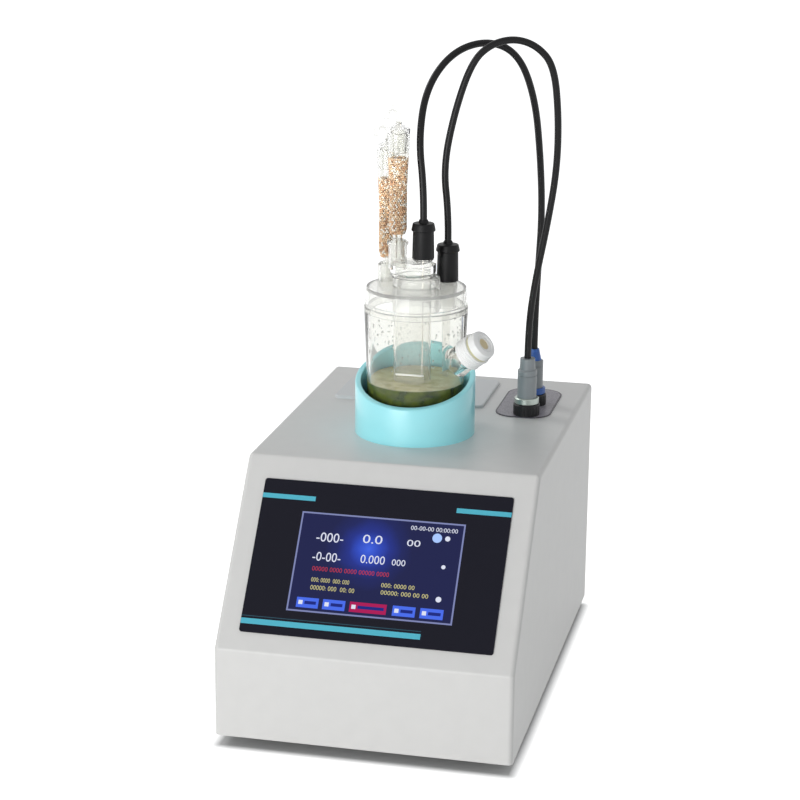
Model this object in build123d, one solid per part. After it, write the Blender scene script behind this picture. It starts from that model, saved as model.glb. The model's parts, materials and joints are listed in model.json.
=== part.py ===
from build123d import *
import math
import os

# Coulometric moisture titrator, in millimetres.
# Origin: centre of the footprint at the feet's lower face. -Y is the front, +Z is up.

# ---------------------------------------------------------------- clearances
SEAT = 0.1          # between pieces that rest on each other at a ground joint
FIT = 0.3           # around a piece that drops into a pocket
SLIP = 0.4          # radial, around a piece that is lifted out of a sleeve
SHAFT_FIT = 0.05    # radial, of a shaft, pin or screw in its bore

# ---------------------------------------------------------------- case
CASE_W = 243.0
CASE_D = 388.0
CASE_H = 206.5
CASE_WALL = 3.0
CASE_ROUND = 4.0
FRONT_H = 74.5       # height of the upright lower front
SLOPE_RUN = 102.5    # depth that the sloping face takes up
FOOT_H = 10.0
FOOT_R = 10.0
FOOT_TAPER = 1.5
FOOT_INSET_X = 25.0
FOOT_INSET_Y = 30.0
BASE_T = 2.0
BOSS_R = 5.0
BOSS_H = 34.0
BOSS_INSET = 11.0    # of the boss axis from the case's inner wall
SCREW_R = 1.5
SCREW_HEAD_R = 2.9
SCREW_HEAD_H = 1.7
SCREW_LEN = 12.0
SLOT_W = 3.0
BASE_SLOT_L = 40.0
BASE_SLOTS = 7
SLOT_PITCH = 8.0

BOTTOM_Z = FOOT_H
TOP_Z = FOOT_H + CASE_H
CEILING_Z = TOP_Z - CASE_WALL
FLOOR_Z = BOTTOM_Z + BASE_T
FRONT_Y = -CASE_D / 2
BACK_Y = CASE_D / 2
BEND_Z = BOTTOM_Z + FRONT_H
SLOPE = math.atan2(TOP_Z - BEND_Z, SLOPE_RUN)
SLOPE_PLANE = Plane(
    origin=(0, FRONT_Y, BEND_Z), x_dir=(1, 0, 0), z_dir=(0, -math.sin(SLOPE), math.cos(SLOPE))
)

# ---------------------------------------------------------------- rear panel
REAR_OPEN_W = 196.0
REAR_OPEN_H = 148.0
REAR_OPEN_Z = 24.0   # above the case's lower edge
REAR_LAP = 8.0
REAR_T = 2.0
REAR_SLOT_L = 34.0
REAR_SLOTS = 11
REAR_SLOT_X = 28.0
REAR_SLOT_Z = 128.0

# ---------------------------------------------------------------- power entry module
INLET_X = -68.0
INLET_Z = 66.0
INLET_FLANGE_W = 31.0
INLET_FLANGE_H = 58.0
INLET_BODY_W = 26.6
INLET_BODY_H = 47.0
INLET_DEPTH = 30.0
SOCKET_W = 24.4
SOCKET_H = 16.4
SOCKET_DEPTH = 18.0
SOCKET_CHAMFER = 4.0
SOCKET_RISE = -4.0   # of the socket's centre from the module's centre
BLADE_W = 4.0
BLADE_T = 2.0
BLADE_L = 12.0
BLADE_PITCH = 14.0
EARTH_RISE = 4.0
ROCKER_W = 19.0
ROCKER_H = 11.0
ROCKER_RISE = 13.5
ROCKER_AXLE_R = 1.2
ROCKER_TILT = 8.0
ROCKER_PIVOT_DEPTH = 7.2
DRAWER_W = 20.0
DRAWER_H = 6.0
DRAWER_DEPTH = 20.0
DRAWER_RISE = -18.0
FUSE_R = 2.2
FUSE_L = 18.0

# ---------------------------------------------------------------- front display
PANEL_W = 205.8
PANEL_H = 130.4
PANEL_T = 1.2
PANEL_START = 15.8   # along the slope, from the lower bend
SCREEN_W = 135.0
SCREEN_H = 84.0
SCREEN_START = 36.4
SCREEN_LAP = 4.0
MODULE_MARGIN = 9.0
MODULE_T = 10.0
PANEL_CORNER_R = 2.0

# ---------------------------------------------------------------- circuit board and supply
BOARD_W = 160.0
BOARD_D = 96.0
BOARD_T = 1.6
BOARD_Y = -104.0
BOARD_RISE = 9.0
STANDOFF_R = 3.5
STANDOFF_INSET = 6.0
SUPPLY_W = 78.0
SUPPLY_D = 110.0
SUPPLY_H = 38.0
SUPPLY_X = 38.0
SUPPLY_Y = 56.0
SUPPLY_WALL = 1.5
SUPPLY_HOLE_R = 3.0
SUPPLY_HOLE_PITCH = 13.0

# ---------------------------------------------------------------- cell holder and stirrer
CELL_X = -3.3
CELL_Y = 5.8
HOLDER_R = 50.9
HOLDER_WALL = 5.0
HOLDER_FLOOR = 5.0
HOLDER_FRONT_H = 32.0
HOLDER_BACK_H = 64.0
HOLDER_LIP_R = 1.2
HOLDER_CUT_PAST = 10.0   # that the slanting cut runs past the ring
BRACKET_DROP = 33.5   # of the bracket plate's upper face below the case's ceiling
BRACKET_T = 2.0
BRACKET_R = 38.0
PILLAR_R = 4.5
PILLAR_RING_R = 32.0
PILLARS = 3
MOTOR_R = 18.0
MOTOR_H = 27.0
MOTOR_BOSS_R = 6.0
MOTOR_SHAFT_R = 1.6
ROTOR_L = 46.0
ROTOR_W = 14.0
ROTOR_T = 8.0
ROTOR_GAP = 2.5       # between the rotor and the ceiling
ROTOR_HUB_R = 6.0
MAGNET_R = 5.5
MAGNET_T = 5.0
MAGNET_OFFSET = 15.5

# ---------------------------------------------------------------- titration cell
CELL_R = 43.5
GLASS = 3.0
CELL_BASE_T = 4.0
CELL_SEAM_Z = 326.0
CELL_EDGE_R = 5.0
LID_H = 18.2
LID_TOP_T = 4.0
LID_LIP_T = 2.0
LID_LIP_H = 5.0
SLEEVE_DROP = 4.0     # of the hanging sleeves below the lid's seam
LIQUID_Z = 261.0
LIQUID_GAP = 0.15
BAR_R = 3.6
BAR_L = 28.0
BAR_GAP = 0.3

CELL_BASE_Z = TOP_Z + HOLDER_FLOOR
CELL_FLOOR_Z = CELL_BASE_Z + CELL_BASE_T
LID_TOP_Z = CELL_SEAM_Z + LID_H

# ---------------------------------------------------------------- injection port
PORT_RISE = 37.0      # degrees above the horizontal
PORT_TURN = -22.0     # degrees from +X, towards the front
PORT_ROOT_Z = 251.5   # where the port's axis meets the cell's axis
PORT_R = 10.4
PORT_BORE_R = 7.0
PORT_SHOULDER_R = 14.0
PORT_SHOULDER_L = 7.0
PORT_NECK_END = 82.0  # all along the port's axis, from the cell's axis
PORT_RING_START = 62.5
PORT_RING_T = 1.6
PORT_RING_R = 12.0
CAP_START = 65.2
CAP_SKIRT_R = 13.6
CAP_SKIRT_END = 77.0
CAP_GROOVE_R = 12.2
CAP_HEAD_START = 79.5
CAP_HEAD_R = 13.0
CAP_FACE_T = 2.0
CAP_HOLE_R = 5.0
SEPTUM_T = 2.5
SEPTUM_R = 10.2

# ---------------------------------------------------------------- electrolysis electrode
ELEC_X = -6.3
ELEC_Y = 5.8
CHAMBER_R = 16.2
CHAMBER_WALL = 1.8
CHAMBER_END_Z = 250.0
COLLAR_H = 6.8
COLLAR_WALL = 3.2
HEAD_R = 20.2
HEAD_FLANGE_R = 18.6
HEAD_H = 12.0
HEAD_ROUND = 4.0
DIAPHRAGM_T = 3.0
LEAD_NECK_X = 3.5
NECK_Y = 0.0
LEAD_NECK_R = 6.5
LEAD_NECK_H = 15.5
NECK_RIM_R = 8.6
NECK_RIM_H = 1.4
TUBE_NECK_X = -18.3
TUBE_NECK_R = 7.8
TUBE_NECK_RISE = 17.9   # of the neck above the head
GAUZE_R = 11.6
GAUZE_T = 0.4
GAUZE_H = 30.0
WIRE_R = 0.5

# ---------------------------------------------------------------- electrode caps
CAP_BODY_R = 8.8
CAP_BODY_H = 25.6
CAP_RIM_R = 9.6
CAP_RIM_H = 6.0
CAP_GLAND_R = 4.6
CAP_GLAND_H = 2.0

# ---------------------------------------------------------------- measuring electrode
MEAS_X = 19.8
MEAS_Y = 22.2
MEAS_CONE_R = 5.2
MEAS_SLEEVE_WALL = 2.6
MEAS_SLEEVE_RISE = 0.8
MEAS_NECK_R = 5.0
MEAS_NECK_H = 17.0
MEAS_ROD_R = 3.5
MEAS_END_Z = 243.0
MEAS_PIN_R = 0.6
MEAS_PIN_L = 5.0
MEAS_PIN_GAP = 3.4

# ---------------------------------------------------------------- drying tubes
TUBE_R = 9.2
TUBE_WALL = 1.1
TUBE_ROUND = 5.0
STEM_R = 4.0
STEM_L = 4.5
CONE_R = 5.6
CONE_L = 16.0
STEM_BORE_R = 2.0
STOPPER_R = 7.6
STOPPER_L = 16.0
STOPPER_RIM_R = 9.6
STOPPER_RIM_T = 4.0
HOOK_R = 2.6
HOOK_BORE_R = 1.5
HOOK_BEND_R = 5.0
HOOK_RISE = 11.0
HOOK_TAIL = 4.0
FRONT_TUBE_L = 86.0
FRONT_FILL_L = 65.0
REAR_TUBE_L = 93.0
REAR_FILL_L = 68.0
REAR_TUBE_X = -32.0
REAR_TUBE_Y = 22.0
REAR_SLEEVE_RISE = 12.0
REAR_SLEEVE_WALL = 2.2

# ---------------------------------------------------------------- sockets, plugs and leads
PLATE_INSET = 44.65   # of the plate's middle from the case's right side
PLATE_Y = 112.0
PLATE_W = 48.7
PLATE_D = 94.0
PLATE_T = 0.8
PLATE_CORNER_R = 18.0
SOCKET_INSET = 40.9   # of the sockets' axes from the case's right side
MEAS_SOCKET_Y = 76.5
ELEC_SOCKET_Y = 110.5
NUT_R = 11.5
NUT_H = 9.8
NUT_NOTCHES = 24
NUT_NOTCH_R = 0.8
BUSH_R = 8.6
BUSH_DROP = 20.0
PLUG_NOSE_R = 7.0
PLUG_NOSE_L = 16.0
PLUG_RING_R = 10.6
PLUG_RING_H = 5.5
PLUG_BODY_R = 8.3
PLUG_BODY_H = 25.0
PLUG_SLEEVE_R = 6.9
PLUG_SLEEVE_H = 10.0
LEAD_R = 3.0

PLATE_X = CASE_W / 2 - PLATE_INSET
SOCKET_X = CASE_W / 2 - SOCKET_INSET
PLATE_TOP_Z = TOP_Z + PLATE_T
NUT_TOP_Z = PLATE_TOP_Z + NUT_H
PLUG_TOP_Z = NUT_TOP_Z + PLUG_RING_H + PLUG_BODY_H + PLUG_SLEEVE_H

# ---------------------------------------------------------------- printer
PRINTER_X = -27.5
PRINTER_Y = 128.5
BEZEL_W = 135.0
BEZEL_D = 87.0
BEZEL_T = 2.6
BEZEL_CORNER_R = 5.0
DOOR_W = 66.0
DOOR_D = 70.0
DOOR_T = 2.2
DOOR_GAP = 0.4
SKIRT_T = 3.0
SKIRT_H = 9.0
BARREL_R = 1.6
HINGE_PIN_R = 0.8
BAY_DEPTH = 52.0
BAY_WALL = 2.0
ROLL_R = 20.0
ROLL_BORE_R = 6.0
ROLL_L = 57.0
PLATEN_R = 4.0
PLATEN_L = 57.5
PLATEN_AXLE_R = 1.0
PLATEN_Y = -22.0      # from the printer's centre
PLATEN_DROP = 7.0     # of the platen's axis below the door's underside
HEAD_GAP = 0.8
HEAD_D = 7.0
HEAD_BLOCK_H = 16.0
LUG_T = 2.4


# ---------------------------------------------------------------- helpers
def rod(radius, x, y, low, high):
    """Upright cylinder between two heights."""
    return Pos(x, y, low) * Cylinder(radius, high - low, align=(Align.CENTER, Align.CENTER, Align.MIN))


def pipe(outer, inner, x, y, low, high):
    """Upright tube between two heights."""
    return rod(outer, x, y, low, high) - rod(inner, x, y, low, high)


def block(x0, x1, y0, y1, z0, z1):
    """Box between two corners."""
    return Pos((x0 + x1) / 2, (y0 + y1) / 2, (z0 + z1) / 2) * Box(x1 - x0, y1 - y0, z1 - z0)


def rod_x(radius, x0, x1, y, z):
    """Cylinder along X."""
    return Pos((x0 + x1) / 2, y, z) * Rot(0, 90, 0) * Cylinder(radius, x1 - x0)


def rod_y(radius, x, y0, y1, z):
    """Cylinder along Y."""
    return Pos(x, (y0 + y1) / 2, z) * Rot(90, 0, 0) * Cylinder(radius, y1 - y0)


def plate(width, depth, corner, x, y, low, high):
    """Flat plate with rounded corners."""
    face = Plane.XY.offset(low) * Pos(x, y) * RectangleRounded(width, depth, corner)
    return extrude(face, high - low)


def lathe(points, x, y):
    """Solid of revolution about an upright axis, from (radius, height) points."""
    face = Plane.XZ * make_face(Polyline(*points, close=True))
    return Pos(x, y, 0) * revolve(face, Axis.Z)


def screw_down(x, y, z, length):
    """Countersunk screw whose head is flush at z and whose shank points up."""
    head = Pos(x, y, z) * Cone(SCREW_HEAD_R, SCREW_R, SCREW_HEAD_H, align=(Align.CENTER, Align.CENTER, Align.MIN))
    return head + rod(SCREW_R, x, y, z + SCREW_HEAD_H, z + length)


def screw_hole(length):
    """Countersunk hole around a screw, along +Z from the origin."""
    grow = SHAFT_FIT
    head = Cone(
        SCREW_HEAD_R + grow, SCREW_R + grow, SCREW_HEAD_H, align=(Align.CENTER, Align.CENTER, Align.MIN)
    )
    return head + rod(SCREW_R + grow, 0, 0, 0, length + grow)


def write(shape, node):
    """Write one node as a STEP file."""
    solids = shape.solids() if hasattr(shape, "solids") else ShapeList(shape)
    body = solids[0] if len(solids) == 1 else Compound(children=list(solids))
    body.label = node
    export_step(body, f"parts/{node}.step")


# ---------------------------------------------------------------- case
def case_form(inset, low):
    """Rounded wedge-fronted form of the case, offset inwards by inset."""
    rise = inset * (1 - math.sin(SLOPE)) / math.cos(SLOPE)
    run = inset * (1 - math.cos(SLOPE)) / math.sin(SLOPE)
    outline = [
        (FRONT_Y + inset, low),
        (FRONT_Y + inset, BEND_Z - rise),
        (FRONT_Y + SLOPE_RUN + run, TOP_Z - inset),
        (BACK_Y - inset, TOP_Z - inset),
        (BACK_Y - inset, low),
    ]
    face = Plane.YZ * make_face(Polyline(*outline, close=True))
    form = extrude(face, (CASE_W / 2 - inset), both=True)
    edges = [e for e in form.edges() if e.center().Z > low + 1e-3]
    return fillet(edges, CASE_ROUND - inset)


def boss_places():
    """Axes of the four bosses that take the base screws."""
    x = CASE_W / 2 - CASE_WALL - BOSS_INSET
    y = CASE_D / 2 - CASE_WALL - BOSS_INSET
    return [(sx * x, sy * y) for sx in (-1, 1) for sy in (-1, 1)]


def rear_screw_places():
    """Axes, as X and Z, of the four screws that hold the rear panel."""
    x = REAR_OPEN_W / 2 + REAR_LAP / 2
    mid = BOTTOM_Z + REAR_OPEN_Z + REAR_OPEN_H / 2
    z = REAR_OPEN_H / 2 - 2 * REAR_LAP
    return [(sx * x, mid + sz * z) for sx in (-1, 1) for sz in (-1, 1)]


def display_screw_places():
    """Places on the slope of the four screws that hold the display module."""
    x = SCREEN_W / 2 + MODULE_MARGIN / 2
    mid = SCREEN_START + SCREEN_H / 2
    s = SCREEN_H / 2 + MODULE_MARGIN / 2
    return [(sx * x, mid + sy * s) for sx in (-1, 1) for sy in (-1, 1)]


def pillar_places():
    """Axes of the stirrer bracket's pillars around the cell's axis."""
    turns = [math.radians(90 + 360 * k / PILLARS) for k in range(PILLARS)]
    return [(CELL_X + PILLAR_RING_R * math.cos(t), CELL_Y + PILLAR_RING_R * math.sin(t)) for t in turns]


def make_housing():
    shell = case_form(0, BOTTOM_Z) - case_form(CASE_WALL, BOTTOM_Z - 1)
    inner_x = CASE_W / 2 - CASE_WALL
    for x, y in boss_places():
        side = math.copysign(1, x)
        web = block(min(x, side * (inner_x + 1)), max(x, side * (inner_x + 1)), y - 1.5, y + 1.5,
                    FLOOR_Z, FLOOR_Z + BOSS_H)
        shell += rod(BOSS_R, x, y, FLOOR_Z, FLOOR_Z + BOSS_H) + web
        shell -= rod(SCREW_R + SHAFT_FIT, x, y, FLOOR_Z - 1, BOTTOM_Z + SCREW_LEN + FIT)
    # window behind the screen
    window = Box(SCREEN_W - 2 * SCREEN_LAP, SCREEN_H - 2 * SCREEN_LAP, 4 * CASE_WALL)
    shell -= SLOPE_PLANE * Pos(0, SCREEN_START + SCREEN_H / 2, 0) * window
    for x, s in display_screw_places():
        shell -= SLOPE_PLANE * Pos(x, s, 0) * Rot(180, 0, 0) * screw_hole(SCREW_LEN)
    # openings in the top
    for x, y in pillar_places():
        shell -= rod(SCREW_R + SHAFT_FIT, x, y, CEILING_Z - 1, TOP_Z + 1)
    for y in (MEAS_SOCKET_Y, ELEC_SOCKET_Y):
        shell -= rod(BUSH_R + FIT, SOCKET_X, y, CEILING_Z - 1, TOP_Z + 1)
    hole_w = DOOR_W + 2 * DOOR_GAP + 2 * SKIRT_T + 2 * FIT
    hole_d = DOOR_D + 2 * DOOR_GAP + 2 * SKIRT_T + 2 * FIT
    shell -= block(PRINTER_X - hole_w / 2, PRINTER_X + hole_w / 2, PRINTER_Y - hole_d / 2,
                   PRINTER_Y + hole_d / 2, CEILING_Z - 1, TOP_Z + 1)
    # opening in the back, with the screws of the rear panel
    low = BOTTOM_Z + REAR_OPEN_Z
    shell -= block(-REAR_OPEN_W / 2, REAR_OPEN_W / 2, BACK_Y - CASE_WALL - 1, BACK_Y + 1, low, low + REAR_OPEN_H)
    for x, z in rear_screw_places():
        shell -= Pos(x, BACK_Y, z) * Rot(90, 0, 0) * screw_hole(SCREW_LEN)
    return shell


def make_base():
    width = CASE_W - 2 * CASE_WALL - 2 * FIT
    depth = CASE_D - 2 * CASE_WALL - 2 * FIT
    base = plate(width, depth, CASE_ROUND - CASE_WALL, 0, 0, BOTTOM_Z, FLOOR_Z)
    for x, y in boss_places():
        base -= Pos(x, y, BOTTOM_Z) * screw_hole(SCREW_LEN)
    for k in range(BASE_SLOTS):
        y = SUPPLY_Y + (k - (BASE_SLOTS - 1) / 2) * SLOT_PITCH
        slot = Plane.XY.offset(BOTTOM_Z - 1) * Pos(-SUPPLY_X, y) * SlotOverall(BASE_SLOT_L, SLOT_W)
        base -= extrude(slot, BASE_T + 2)
    return base


def make_feet():
    feet = []
    for sx in (-1, 1):
        for sy in (-1, 1):
            x = sx * (CASE_W / 2 - FOOT_INSET_X)
            y = sy * (CASE_D / 2 - FOOT_INSET_Y)
            foot = Pos(x, y, 0) * Cone(
                FOOT_R - FOOT_TAPER, FOOT_R, FOOT_H, align=(Align.CENTER, Align.CENTER, Align.MIN)
            )
            feet.append(foot)
    return Compound(children=feet)


def make_case_screws():
    screws = [screw_down(x, y, BOTTOM_Z, SCREW_LEN) for x, y in boss_places()]
    for x, z in rear_screw_places():
        screws.append(Pos(x, BACK_Y, z) * Rot(90, 0, 0) * screw_down(0, 0, 0, SCREW_LEN))
    for x, s in display_screw_places():
        screws.append(SLOPE_PLANE * Pos(x, s, 0) * Rot(180, 0, 0) * screw_down(0, 0, 0, SCREW_LEN))
    return Compound(children=screws)


# ---------------------------------------------------------------- rear panel and power entry
PANEL_BACK_Y = BACK_Y - CASE_WALL
PANEL_IN_Y = PANEL_BACK_Y - REAR_T


def make_rear_panel():
    low = BOTTOM_Z + REAR_OPEN_Z
    mid = low + REAR_OPEN_H / 2
    width = REAR_OPEN_W + 2 * REAR_LAP
    height = REAR_OPEN_H + 2 * REAR_LAP
    panel = block(-width / 2, width / 2, PANEL_IN_Y, PANEL_BACK_Y, mid - height / 2, mid + height / 2)
    for x, z in rear_screw_places():
        panel -= rod_y(SCREW_R + SHAFT_FIT, x, PANEL_IN_Y - 1, PANEL_BACK_Y + 1, z)
    w = INLET_BODY_W / 2 + SEAT
    h = INLET_BODY_H / 2 + SEAT
    panel -= block(INLET_X - w, INLET_X + w, PANEL_IN_Y - 1, PANEL_BACK_Y + 1, INLET_Z - h, INLET_Z + h)
    for k in range(REAR_SLOTS):
        x = REAR_SLOT_X + (k - (REAR_SLOTS - 1) / 2) * SLOT_PITCH
        slot = Plane.XZ * Pos(x, REAR_SLOT_Z) * Rot(0, 0, 90) * SlotOverall(REAR_SLOT_L, SLOT_W)
        panel -= Pos(0, PANEL_BACK_Y + 1, 0) * extrude(slot, REAR_T + 2)
    return panel


SOCKET_Z = INLET_Z + SOCKET_RISE
DRAWER_Z = INLET_Z + DRAWER_RISE
ROCKER_Z = INLET_Z + ROCKER_RISE
ROCKER_Y = BACK_Y - ROCKER_PIVOT_DEPTH


def make_inlet():
    body = block(INLET_X - INLET_BODY_W / 2, INLET_X + INLET_BODY_W / 2, BACK_Y - INLET_DEPTH, PANEL_BACK_Y + 1,
                 INLET_Z - INLET_BODY_H / 2, INLET_Z + INLET_BODY_H / 2)
    flange = block(INLET_X - INLET_FLANGE_W / 2, INLET_X + INLET_FLANGE_W / 2, PANEL_BACK_Y, BACK_Y,
                   INLET_Z - INLET_FLANGE_H / 2, INLET_Z + INLET_FLANGE_H / 2)
    body += flange
    socket = Plane.XZ * make_face(Polyline(
        (-SOCKET_W / 2, -SOCKET_H / 2),
        (SOCKET_W / 2, -SOCKET_H / 2),
        (SOCKET_W / 2, SOCKET_H / 2 - SOCKET_CHAMFER),
        (SOCKET_W / 2 - SOCKET_CHAMFER, SOCKET_H / 2),
        (-SOCKET_W / 2 + SOCKET_CHAMFER, SOCKET_H / 2),
        (-SOCKET_W / 2, SOCKET_H / 2 - SOCKET_CHAMFER),
        close=True,
    ))
    body -= Pos(INLET_X, BACK_Y + 1, SOCKET_Z) * extrude(socket, SOCKET_DEPTH + 1)
    w = ROCKER_W / 2 + FIT
    h = ROCKER_H / 2 + 1.0
    body -= block(INLET_X - w, INLET_X + w, BACK_Y - 2 * ROCKER_PIVOT_DEPTH, BACK_Y + 1, ROCKER_Z - h, ROCKER_Z + h)
    axle = ROCKER_AXLE_R + SHAFT_FIT
    body -= rod_x(axle, INLET_X - w - 1.5, INLET_X + w + 1.5, ROCKER_Y, ROCKER_Z)
    w = DRAWER_W / 2 + FIT
    h = DRAWER_H / 2 + FIT
    body -= block(INLET_X - w, INLET_X + w, BACK_Y - DRAWER_DEPTH - FIT, BACK_Y + 1, DRAWER_Z - h, DRAWER_Z + h)
    return body


def make_inlet_blades():
    root = BACK_Y - SOCKET_DEPTH
    blades = []
    for dx, dz, w, t in (
        (-BLADE_PITCH / 2, 0, BLADE_T, BLADE_W),
        (BLADE_PITCH / 2, 0, BLADE_T, BLADE_W),
        (0, EARTH_RISE, BLADE_T, BLADE_W),
    ):
        x = INLET_X + dx
        z = SOCKET_Z + dz - EARTH_RISE / 2
        blades.append(block(x - w / 2, x + w / 2, root, root + BLADE_L, z - t / 2, z + t / 2))
    return Compound(children=blades)


def make_rocker():
    half = ROCKER_H / 2
    face = Plane.YZ * make_face(Polyline(
        (-3.0, -half), (6.2, -half), (4.8, 0), (6.2, half), (-3.0, half), close=True
    ))
    rocker = extrude(face, ROCKER_W / 2, both=True)
    rocker += rod_x(ROCKER_AXLE_R, -ROCKER_W / 2 - 1.6, ROCKER_W / 2 + 1.6, 0, 0)
    return Pos(INLET_X, ROCKER_Y, ROCKER_Z) * Rot(-ROCKER_TILT, 0, 0) * rocker


def make_fuse_drawer():
    drawer = block(INLET_X - DRAWER_W / 2, INLET_X + DRAWER_W / 2, BACK_Y - DRAWER_DEPTH, BACK_Y,
                   DRAWER_Z - DRAWER_H / 2, DRAWER_Z + DRAWER_H / 2)
    pocket = FUSE_R + SEAT
    drawer -= block(INLET_X - FUSE_L / 2 - SEAT, INLET_X + FUSE_L / 2 + SEAT, BACK_Y - DRAWER_DEPTH / 2 - pocket,
                    BACK_Y - DRAWER_DEPTH / 2 + pocket, DRAWER_Z - FUSE_R - SEAT, DRAWER_Z + DRAWER_H)
    return drawer


def make_fuse():
    return rod_x(FUSE_R, INLET_X - FUSE_L / 2, INLET_X + FUSE_L / 2, BACK_Y - DRAWER_DEPTH / 2, DRAWER_Z)


# ---------------------------------------------------------------- front display
def on_slope(shape):
    """Place a piece built in the slope's own axes: X across, Y up the slope, Z outwards."""
    return SLOPE_PLANE * shape


def make_front_panel():
    mid = PANEL_START + PANEL_H / 2
    panel = plate(PANEL_W, PANEL_H, PANEL_CORNER_R, 0, mid, 0, PANEL_T)
    screen_mid = SCREEN_START + SCREEN_H / 2
    panel -= block(-SCREEN_W / 2, SCREEN_W / 2, screen_mid - SCREEN_H / 2, screen_mid + SCREEN_H / 2, -1, PANEL_T + 1)
    return on_slope(panel)


def make_touch_glass():
    mid = SCREEN_START + SCREEN_H / 2
    w = SCREEN_W / 2 - SEAT
    h = SCREEN_H / 2 - SEAT
    return on_slope(block(-w, w, mid - h, mid + h, 0, PANEL_T))


def make_display_module():
    mid = SCREEN_START + SCREEN_H / 2
    w = SCREEN_W / 2 + MODULE_MARGIN
    h = SCREEN_H / 2 + MODULE_MARGIN
    module = block(-w, w, mid - h, mid + h, -CASE_WALL - MODULE_T, -CASE_WALL)
    rim = MODULE_MARGIN - 1
    module -= block(-w + rim, w - rim, mid - h + rim, mid + h - rim, -CASE_WALL - 1.5, -CASE_WALL + 1)
    for x, s in display_screw_places():
        module -= rod(SCREW_R + SHAFT_FIT, x, s, -SCREW_LEN - FIT, 0)
    return on_slope(module)


# ---------------------------------------------------------------- electronics
BOARD_Z = FLOOR_Z + BOARD_RISE


def standoff_places():
    x = BOARD_W / 2 - STANDOFF_INSET
    y = BOARD_D / 2 - STANDOFF_INSET
    return [(sx * x, BOARD_Y + sy * y) for sx in (-1, 1) for sy in (-1, 1)]


def make_board():
    return block(-BOARD_W / 2, BOARD_W / 2, BOARD_Y - BOARD_D / 2, BOARD_Y + BOARD_D / 2, BOARD_Z, BOARD_Z + BOARD_T)


def make_standoffs():
    return Compound(children=[rod(STANDOFF_R, x, y, FLOOR_Z, BOARD_Z) for x, y in standoff_places()])


def make_board_parts():
    top = BOARD_Z + BOARD_T
    parts = []
    for x, y, w, d, h in (
        (-52, 22, 34, 28, 24), (-10, 26, 19, 15, 15), (16, 26, 19, 15, 15), (-14, -6, 24, 24, 2.4),
        (28, -8, 16, 10, 2.4), (56, 22, 12, 34, 10), (-56, -28, 30, 10, 11), (56, -30, 26, 8, 9),
    ):
        parts.append(block(x - w / 2, x + w / 2, BOARD_Y + y - d / 2, BOARD_Y + y + d / 2, top, top + h))
    for x, y, r, h in ((-62, -8, 6.5, 20), (-46, -8, 6.5, 20), (8, -34, 4, 11)):
        parts.append(rod(r, x, BOARD_Y + y, top, top + h))
    return Compound(children=parts)


def make_supply():
    x0 = -SUPPLY_X - SUPPLY_W / 2
    y0 = SUPPLY_Y - SUPPLY_D / 2
    box = block(x0, x0 + SUPPLY_W, y0, y0 + SUPPLY_D, FLOOR_Z, FLOOR_Z + SUPPLY_H)
    box -= block(x0 + SUPPLY_WALL, x0 + SUPPLY_W - SUPPLY_WALL, y0 + SUPPLY_WALL, y0 + SUPPLY_D - SUPPLY_WALL,
                 FLOOR_Z + SUPPLY_WALL, FLOOR_Z + SUPPLY_H - SUPPLY_WALL)
    for j in range(int(SUPPLY_D / SUPPLY_HOLE_PITCH) - 2):
        for i in range(int(SUPPLY_W / SUPPLY_HOLE_PITCH) - 1):
            x = x0 + (i + 1) * SUPPLY_HOLE_PITCH
            y = y0 + (j + 1.5) * SUPPLY_HOLE_PITCH
            box -= rod(SUPPLY_HOLE_R, x, y, FLOOR_Z + SUPPLY_H - SUPPLY_WALL - 1, FLOOR_Z + SUPPLY_H + 1)
    return box


# ---------------------------------------------------------------- cell holder and stirrer
def make_holder():
    inner = HOLDER_R - HOLDER_WALL
    ring = rod(HOLDER_R, CELL_X, CELL_Y, TOP_Z, TOP_Z + HOLDER_BACK_H)
    ring -= rod(inner, CELL_X, CELL_Y, TOP_Z + HOLDER_FLOOR, TOP_Z + HOLDER_BACK_H + 1)
    reach = HOLDER_R + HOLDER_CUT_PAST
    slope = (HOLDER_BACK_H - HOLDER_FRONT_H) / (2 * HOLDER_R)
    front = TOP_Z + HOLDER_FRONT_H - slope * (reach - HOLDER_R)
    back = TOP_Z + HOLDER_BACK_H + slope * (reach - HOLDER_R)
    above = Plane.YZ * make_face(Polyline(
        (CELL_Y - reach, front), (CELL_Y + reach, back), (CELL_Y + reach, back + HOLDER_BACK_H),
        (CELL_Y - reach, back + HOLDER_BACK_H),
        close=True,
    ))
    ring -= Pos(CELL_X, 0, 0) * extrude(above, reach, both=True)
    rim = [e for e in ring.edges() if e.center().Z > TOP_Z + HOLDER_FLOOR + 10 and e.geom_type == GeomType.ELLIPSE]
    ring = fillet(rim, HOLDER_LIP_R)
    for x, y in pillar_places():
        ring -= rod(SCREW_R + SHAFT_FIT, x, y, TOP_Z - 1, TOP_Z + HOLDER_FLOOR - 1)
    return ring


BRACKET_TOP_Z = CEILING_Z - BRACKET_DROP
BRACKET_LOW_Z = BRACKET_TOP_Z - BRACKET_T


def make_bracket():
    bracket = rod(BRACKET_R, CELL_X, CELL_Y, BRACKET_LOW_Z, BRACKET_TOP_Z)
    for x, y in pillar_places():
        bracket += rod(PILLAR_R, x, y, BRACKET_LOW_Z, CEILING_Z)
        bracket -= rod(SCREW_R + SHAFT_FIT, x, y, BRACKET_LOW_Z - 1, CEILING_Z + 1)
    bracket -= rod(MOTOR_BOSS_R + FIT, CELL_X, CELL_Y, BRACKET_LOW_Z - 1, BRACKET_TOP_Z + 1)
    return bracket


def make_holder_screws():
    screws = []
    for x, y in pillar_places():
        screw = rod(SCREW_HEAD_R, x, y, BRACKET_LOW_Z - SCREW_HEAD_H, BRACKET_LOW_Z)
        screws.append(screw + rod(SCREW_R, x, y, BRACKET_LOW_Z, TOP_Z + HOLDER_FLOOR - 1 - FIT))
    return Compound(children=screws)


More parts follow.
